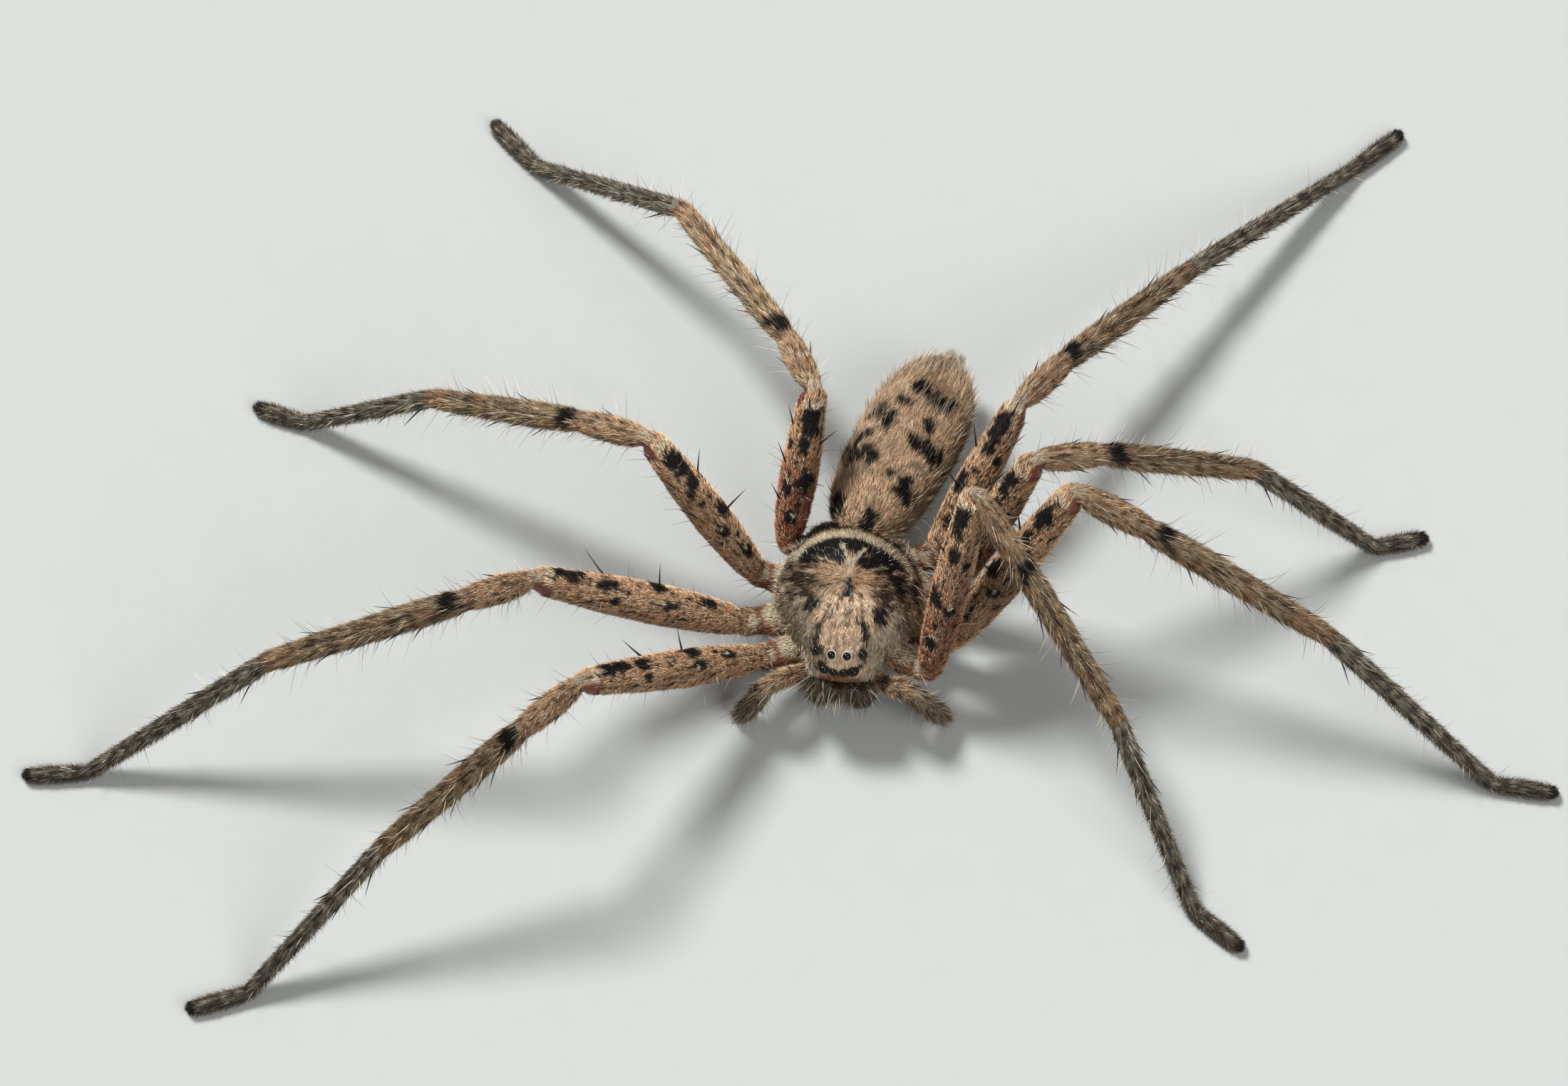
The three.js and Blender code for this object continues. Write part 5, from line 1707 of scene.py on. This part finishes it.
# Chelicera: back, height, half width and half depth, from the root down. Each lies
# CHELICERA_OUT from the midline.
CHELICERA_ROWS = np.array([
    (-4.1, 4.1, 0.55, 0.55), (-4.45, 3.85, 0.76, 0.76), (-4.8, 3.2, 0.84, 0.88),
    (-4.88, 2.4, 0.8, 0.8), (-4.8, 1.75, 0.64, 0.6), (-4.72, 1.42, 0.42, 0.38),
])
CHELICERA_OUT = 1.08
# Fang: out, back, height and half width, from the root to the tip
FANG_ROWS = np.array([(1.35, -5.05, 0.95, 0.2), (1.15, -4.95, 0.72, 0.24), (0.75, -4.5, 0.62, 0.2),
                      (0.35, -3.95, 0.7, 0.05)])

# Palps, right (-1) and left (1): out, back, height and half width, from the root to the tip
PALP_ROWS = {
    -1: np.array([
        (0.95, -3.5, 2.55, 0.5), (1.7, -3.85, 2.75, 0.5), (2.4, -4.35, 3.2, 0.4),
        (3.3, -5.05, 4.0, 0.46), (4.02, -5.65, 4.3, 0.38), (4.5, -6.0, 3.55, 0.45),
        (4.85, -6.2, 2.7, 0.46), (5.2, -6.35, 1.9, 0.48), (5.55, -6.45, 1.15, 0.4),
        (5.75, -6.5, 0.75, 0.25)]),
    1: np.array([
        (0.95, -3.5, 2.55, 0.5), (1.7, -3.95, 2.75, 0.5), (2.4, -4.5, 3.15, 0.4),
        (3.2, -4.85, 3.9, 0.46), (3.97, -5.05, 4.3, 0.38), (4.45, -5.25, 3.6, 0.45),
        (4.9, -5.35, 2.75, 0.46), (5.35, -5.4, 1.95, 0.48), (5.8, -5.45, 1.15, 0.4),
        (6.05, -5.45, 0.75, 0.25)]),
}


@dataclass
class MouthParts:
    """The chelicerae with their fangs, the palps and the sternum."""

    hairs_each: int = 5200
    beard_hairs: int = 2800
    beard_long_hairs: int = 90

    # Spines of a palp: place along, turn and length
    PALP_SPINES = ((0.42, -20, 0.8), (0.46, 35, 0.9), (0.52, -50, 0.8), (0.6, 10, 1.0),
                   (0.72, 50, 0.9))

    def __post_init__(self) -> None:
        """Lays the tubes."""
        self.chelicerae = [self.chelicera(side) for side in (-1, 1)]
        self.palps = [self.chain(PALP_ROWS[side], side, 0.22, (0.3, 0.3)) for side in (-1, 1)]
        back = np.array([-3.3, -2.6, -1.4, 0.2, 1.6, 2.9])
        half = np.array([0.8, 1.4, 1.95, 2.1, 1.65, 0.8]) - 0.1
        knots = THORAX.place(0.0, back, 2.55)[::-1]
        reach = (back[-1] - back)[::-1]
        girth = np.stack([reach, half[::-1], np.full(6, 0.42)], -1)
        self.sternum = Limb(knots=knots, girth=girth, soften=0.3, caps=(0.6, 0.5))

    @staticmethod
    def chelicera(side: int) -> Limb:
        """Lays one chelicera, its top turned to the front.

        Args:
            side: 1 for the left one and -1 for the right one.

        Returns:
            Its tube.
        """
        back, height, wide, deep = CHELICERA_ROWS.T
        knots = THORAX.place(side * CHELICERA_OUT, back, height)
        return Limb(knots=knots, girth=np.stack([distances(knots), wide, deep], -1), soften=0.25,
                    up=np.array([0.0, -1.0, 0.0]), caps=(0.5, 0.35))

    @staticmethod
    def chain(rows: Array, side: int, soften: float, caps: tuple[float, float]) -> Limb:
        """Lays a round tube.

        Args:
            rows: out, back, height and half width at each knot.
            side: 1 on the left and -1 on the right.
            soften: how far its corners are rounded.
            caps: lengths of its round ends.

        Returns:
            The tube.
        """
        knots = THORAX.place(side * rows[:, 0], rows[:, 1], rows[:, 2])
        girth = np.stack([distances(knots), rows[:, 3], rows[:, 3]], -1)
        return Limb(knots=knots, girth=girth, soften=soften, caps=caps)

    @staticmethod
    def palp_tint(tube: Limb, u: Array, v: Array) -> Array:
        """Tan with dark mottles to the knee, then grey-brown in streaks.

        Args:
            tube: the palp's tube.
            u: places along it.
            v: places round it.

        Returns:
            Linear colours.
        """
        points = tube.at(u, v)
        share = u / tube.u_high
        colour = np.tile(Tone.TAN.linear, u.shape + (1,))
        colour = blend(colour, Tone.CREAM, step_between(0.2, 0.8, ripples(points, 0.9, 73)) * 0.6)
        colour = blend(colour, Tone.DUSK, step_between(0.45, 0.7, share) * 0.75)
        noise = ripples(points, 0.7, 71)
        colour = blend(colour, Tone.SOOT, step_between(0.25, 0.6, noise) * (share < 0.62) * 0.9)
        streaks = flat_ripples(u * 0.3, v * 0.5, 0.28, 74)
        return blend(colour, Tone.BARK, step_between(0.0, 0.7, streaks) * 0.7)

    @staticmethod
    def face_tint(tube: Limb, u: Array, v: Array) -> Array:
        """Dark grey-brown in streaks, paler towards the top.

        Args:
            tube: the chelicera's tube.
            u: places along it.
            v: places round it.

        Returns:
            Linear colours.
        """
        colour = np.tile(Tone.DUSK.linear, u.shape + (1,))
        colour = blend(colour, Tone.BARK, step_between(0.05, 0.4, u / tube.u_high) * 0.6)
        streaks = flat_ripples(u * 0.3, v * 0.8, 0.3, 72)
        return blend(colour, Tone.SOOT, step_between(0.0, 0.8, streaks) * 0.5)

    def skin(self, parts: MeshParts) -> None:
        """Adds all the tubes to the skin.

        Args:
            parts: the mesh of the skin.
        """
        for tube in self.chelicerae:
            points, faces, u, v = tube.mesh(pace=0.15, columns=26)
            # The skin is darkened as painted shade between the hairs
            parts.add(points, faces, self.face_tint(tube, u, v) * 0.3)
        for tube in self.palps:
            points, faces, u, v = tube.mesh(pace=0.15, columns=22)
            # The skin is darkened as painted shade between the hairs
            parts.add(points, faces, self.palp_tint(tube, u, v) * 0.3)
        points, faces, _, _ = self.sternum.mesh(pace=0.25, columns=30)
        parts.add(points, faces, even(Tone.BROWN, len(points), 0.6))

    def coat(self) -> None:
        """Grows the hair of the palps and chelicerae, and the long bristles over the mouth."""
        parts = MeshParts()
        tubes = [*self.chelicerae, *self.palps]
        for i, tube in enumerate(tubes):
            palp = i >= len(self.chelicerae)
            u, v = tube.scatter(self.hairs_each, None, 700 + i)
            root, along, normal = tube.frames(u, v)
            tint = (self.palp_tint if palp else self.face_tint)(tube, u, v)
            maps = tube.maps(u, v)
            maps[:, 0] = (i + maps[:, 0]) / len(tubes)
            size = 0.75 + 0.45 * u / tube.u_high
            along = unit(along - UP * (0.0 if palp else 0.8))
            tint = salted(tint, 0.1 if palp else 0.03, 705 + i)
            strands(parts, FACE_HAIR, root, along, normal, tint, maps, 710 + i, size)
            draw = np.random.default_rng(720 + i)
            chosen = draw.random(len(u)) < (0.05 * (u > 0.35 * tube.u_high) if palp else 0.03)
            tint = even(Tone.PALE, int(chosen.sum()), 0.5 if palp else 0.22)
            strands(parts, FACE_LONG_HAIR, root[chosen], along[chosen], normal[chosen], tint,
                    maps[chosen], 730 + i)
        self.beard(parts)
        parts.build("face_coat", COAT)

    def beard(self, parts: MeshParts) -> None:
        """Hangs hair from under the front of the head over the chelicerae, some of it long.

        Args:
            parts: the mesh of the coat.
        """
        draw = np.random.default_rng(740)
        for kind, count, tone, shade in (
                (BEARD_HAIR, self.beard_hairs, Tone.DUSK, 0.65),
                (BEARD_LONG_HAIR, self.beard_long_hairs, Tone.PALE, 0.8)):
            out = draw.uniform(-1.55, 1.55, count)
            root = THORAX.place(out, -4.72 - 0.22 * np.cos(out) + draw.uniform(-0.1, 0.25, count),
                                draw.uniform(4.05, 4.4, count))
            aim = np.stack([0.08 * out + draw.normal(0.0, 0.2, count), np.full(count, -0.78),
                            draw.normal(-0.5, 0.25, count)], -1)
            tint = even(tone, count, shade)
            maps = np.stack([draw.uniform(0.0, 0.24, count), draw.random(count)], -1)
            strands(parts, kind, root, unit(aim), np.tile(UP, (count, 1)), tint, maps, 741)

    def spines(self, parts: MeshParts) -> None:
        """Sets a few short black spines on the middle of each palp.

        Args:
            parts: the mesh of the spines.
        """
        for i, tube in enumerate(self.palps):
            for at, turn, length in self.PALP_SPINES:
                u, v = np.array([at * tube.u_high]), np.array([math.radians(turn)])
                root, along, normal = tube.frames(u, v)
                kind = replace(PALP_SPINE_HAIR, length=length)
                strands(parts, kind, root, along, normal, even(Tone.SOOT, 1),
                        np.array([[0.5, 0.5]]), 750 + i)

    def fangs(self) -> bpy.types.Object:
        """Makes the two folded fangs.

        Returns:
            The piece.
        """
        parts = MeshParts()
        for side in (-1, 1):
            tube = self.chain(FANG_ROWS, side, 0.15, (0.15, 0.05))
            points, faces, _, _ = tube.mesh(pace=0.08, columns=18)
            parts.add(points, faces, even(Tone.SOOT, len(points)))
        return parts.build("fangs", HORN)


@dataclass(frozen=True)
class Lamp:
    """One far soft light, which shines from a place towards the spider.

    Its spread is how wide it looks from the spider, in degrees, and its power is in watts on
    each square metre.
    """

    name: str
    place: tuple[float, float, float]
    spread: float
    power: float

    def add(self) -> None:
        """Adds the light to the scene."""
        data = bpy.data.lights.new(self.name, "SUN")
        data.angle, data.energy = math.radians(self.spread), self.power
        lamp = bpy.data.objects.new(self.name, data)
        lamp.location = Vector(self.place) * MM
        lamp.rotation_euler = Vector(self.place).to_track_quat("Z", "Y").to_euler()
        bpy.context.scene.collection.objects.link(lamp)


KEY = Lamp("key", (-150.0, 190.0, 300.0), spread=14.0, power=4.6)
FILL = Lamp("fill", (200.0, -160.0, 260.0), spread=40.0, power=1.5)


@dataclass
class Studio:
    """Plain pale floor, soft lights, and the camera at the photo's angle."""

    image_width: int = 2200
    pixels_per_mm: float = 24.0
    elevation: float = 72.0
    distance: float = 360.0
    target: tuple[float, float, float] = (-0.353, 1.044, 0.0)
    sensor: float = 36.0
    floor_reach: float = 3000.0
    surroundings: float = 0.28

    def camera(self) -> None:
        """Stands the camera back and up from the middle of the photo's frame, on the floor."""
        lift = math.radians(self.elevation)
        away = Vector((0.0, -math.cos(lift), math.sin(lift)))
        data = bpy.data.cameras.new("camera")
        data.sensor_width = self.sensor
        data.lens = self.sensor * self.distance * self.pixels_per_mm / self.image_width
        data.clip_start, data.clip_end = 0.01, 10.0
        camera = bpy.data.objects.new("camera", data)
        camera.location = (Vector(self.target) + away * self.distance) * MM
        camera.rotation_euler = away.to_track_quat("Z", "Y").to_euler()
        bpy.context.scene.collection.objects.link(camera)
        bpy.context.scene.camera = camera

    def floor(self) -> None:
        """Lays the pale floor."""
        corners = np.array([(-1, -1, 0), (1, -1, 0), (1, 1, 0), (-1, 1, 0)]) * self.floor_reach
        mesh = bpy.data.meshes.new("floor")
        mesh.from_pydata((corners * MM).tolist(), [], [(0, 1, 2, 3)])
        mesh.materials.append(FLOOR.material())
        floor = bpy.data.objects.new("floor", mesh)
        bpy.context.scene.collection.objects.link(floor)

    def build(self) -> None:
        """Sets up camera, lights, floor and surroundings."""
        self.camera()
        self.floor()
        KEY.add()
        FILL.add()
        world = bpy.data.worlds.new("studio")
        world.use_nodes = True
        background = world.node_tree.nodes["Background"]
        background.inputs["Color"].default_value = (1.0, 1.0, 1.0, 1.0)
        background.inputs["Strength"].default_value = self.surroundings
        bpy.context.scene.world = world
        bpy.context.scene.view_settings.view_transform = "Standard"


# Nodes that the skin stands for, beside those of the legs
FLESH = ("carapace", "sternum", "abdomen", "spinnerets", "right_chelicera", "left_chelicera",
         "right_palp_base", "right_palp_tip", "left_palp_base", "left_palp_tip")


def main() -> None:
    """Builds every piece in order."""
    logging.basicConfig(level=logging.INFO, format="%(name)s %(message)s")
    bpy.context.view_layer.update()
    legs = [Leg(*pose) for pose in LEG_POSES]
    shield, abdomen, mouth = Carapace(), Abdomen(), MouthParts()

    skin = MeshParts()
    for member in (shield, abdomen, mouth, *legs):
        member.skin(skin)
    leg_nodes = [f"{leg.name}_{segment}" for leg in legs
                 for segment in ("coxa", "femur", "tibia", "metatarsus", "tarsus")]
    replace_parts(skin.build("skin", SKIN), *FLESH, *leg_nodes)

    Eyes(shield).build()
    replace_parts(mouth.fangs(), "right_fang", "left_fang")
    for member in (shield, abdomen, mouth, *legs):
        member.coat()
    bristles, spines, claws = MeshParts(), MeshParts(), MeshParts()
    for leg in legs:
        leg.bristles(bristles)
        leg.spines(spines)
        leg.claws(claws)
    mouth.spines(spines)
    bristles.build("leg_bristles", BRISTLE)
    spines.build("leg_spines", SPINE)
    claws.build("claws", HORN)
    Studio().build()


if __name__ == "__main__":
    main()
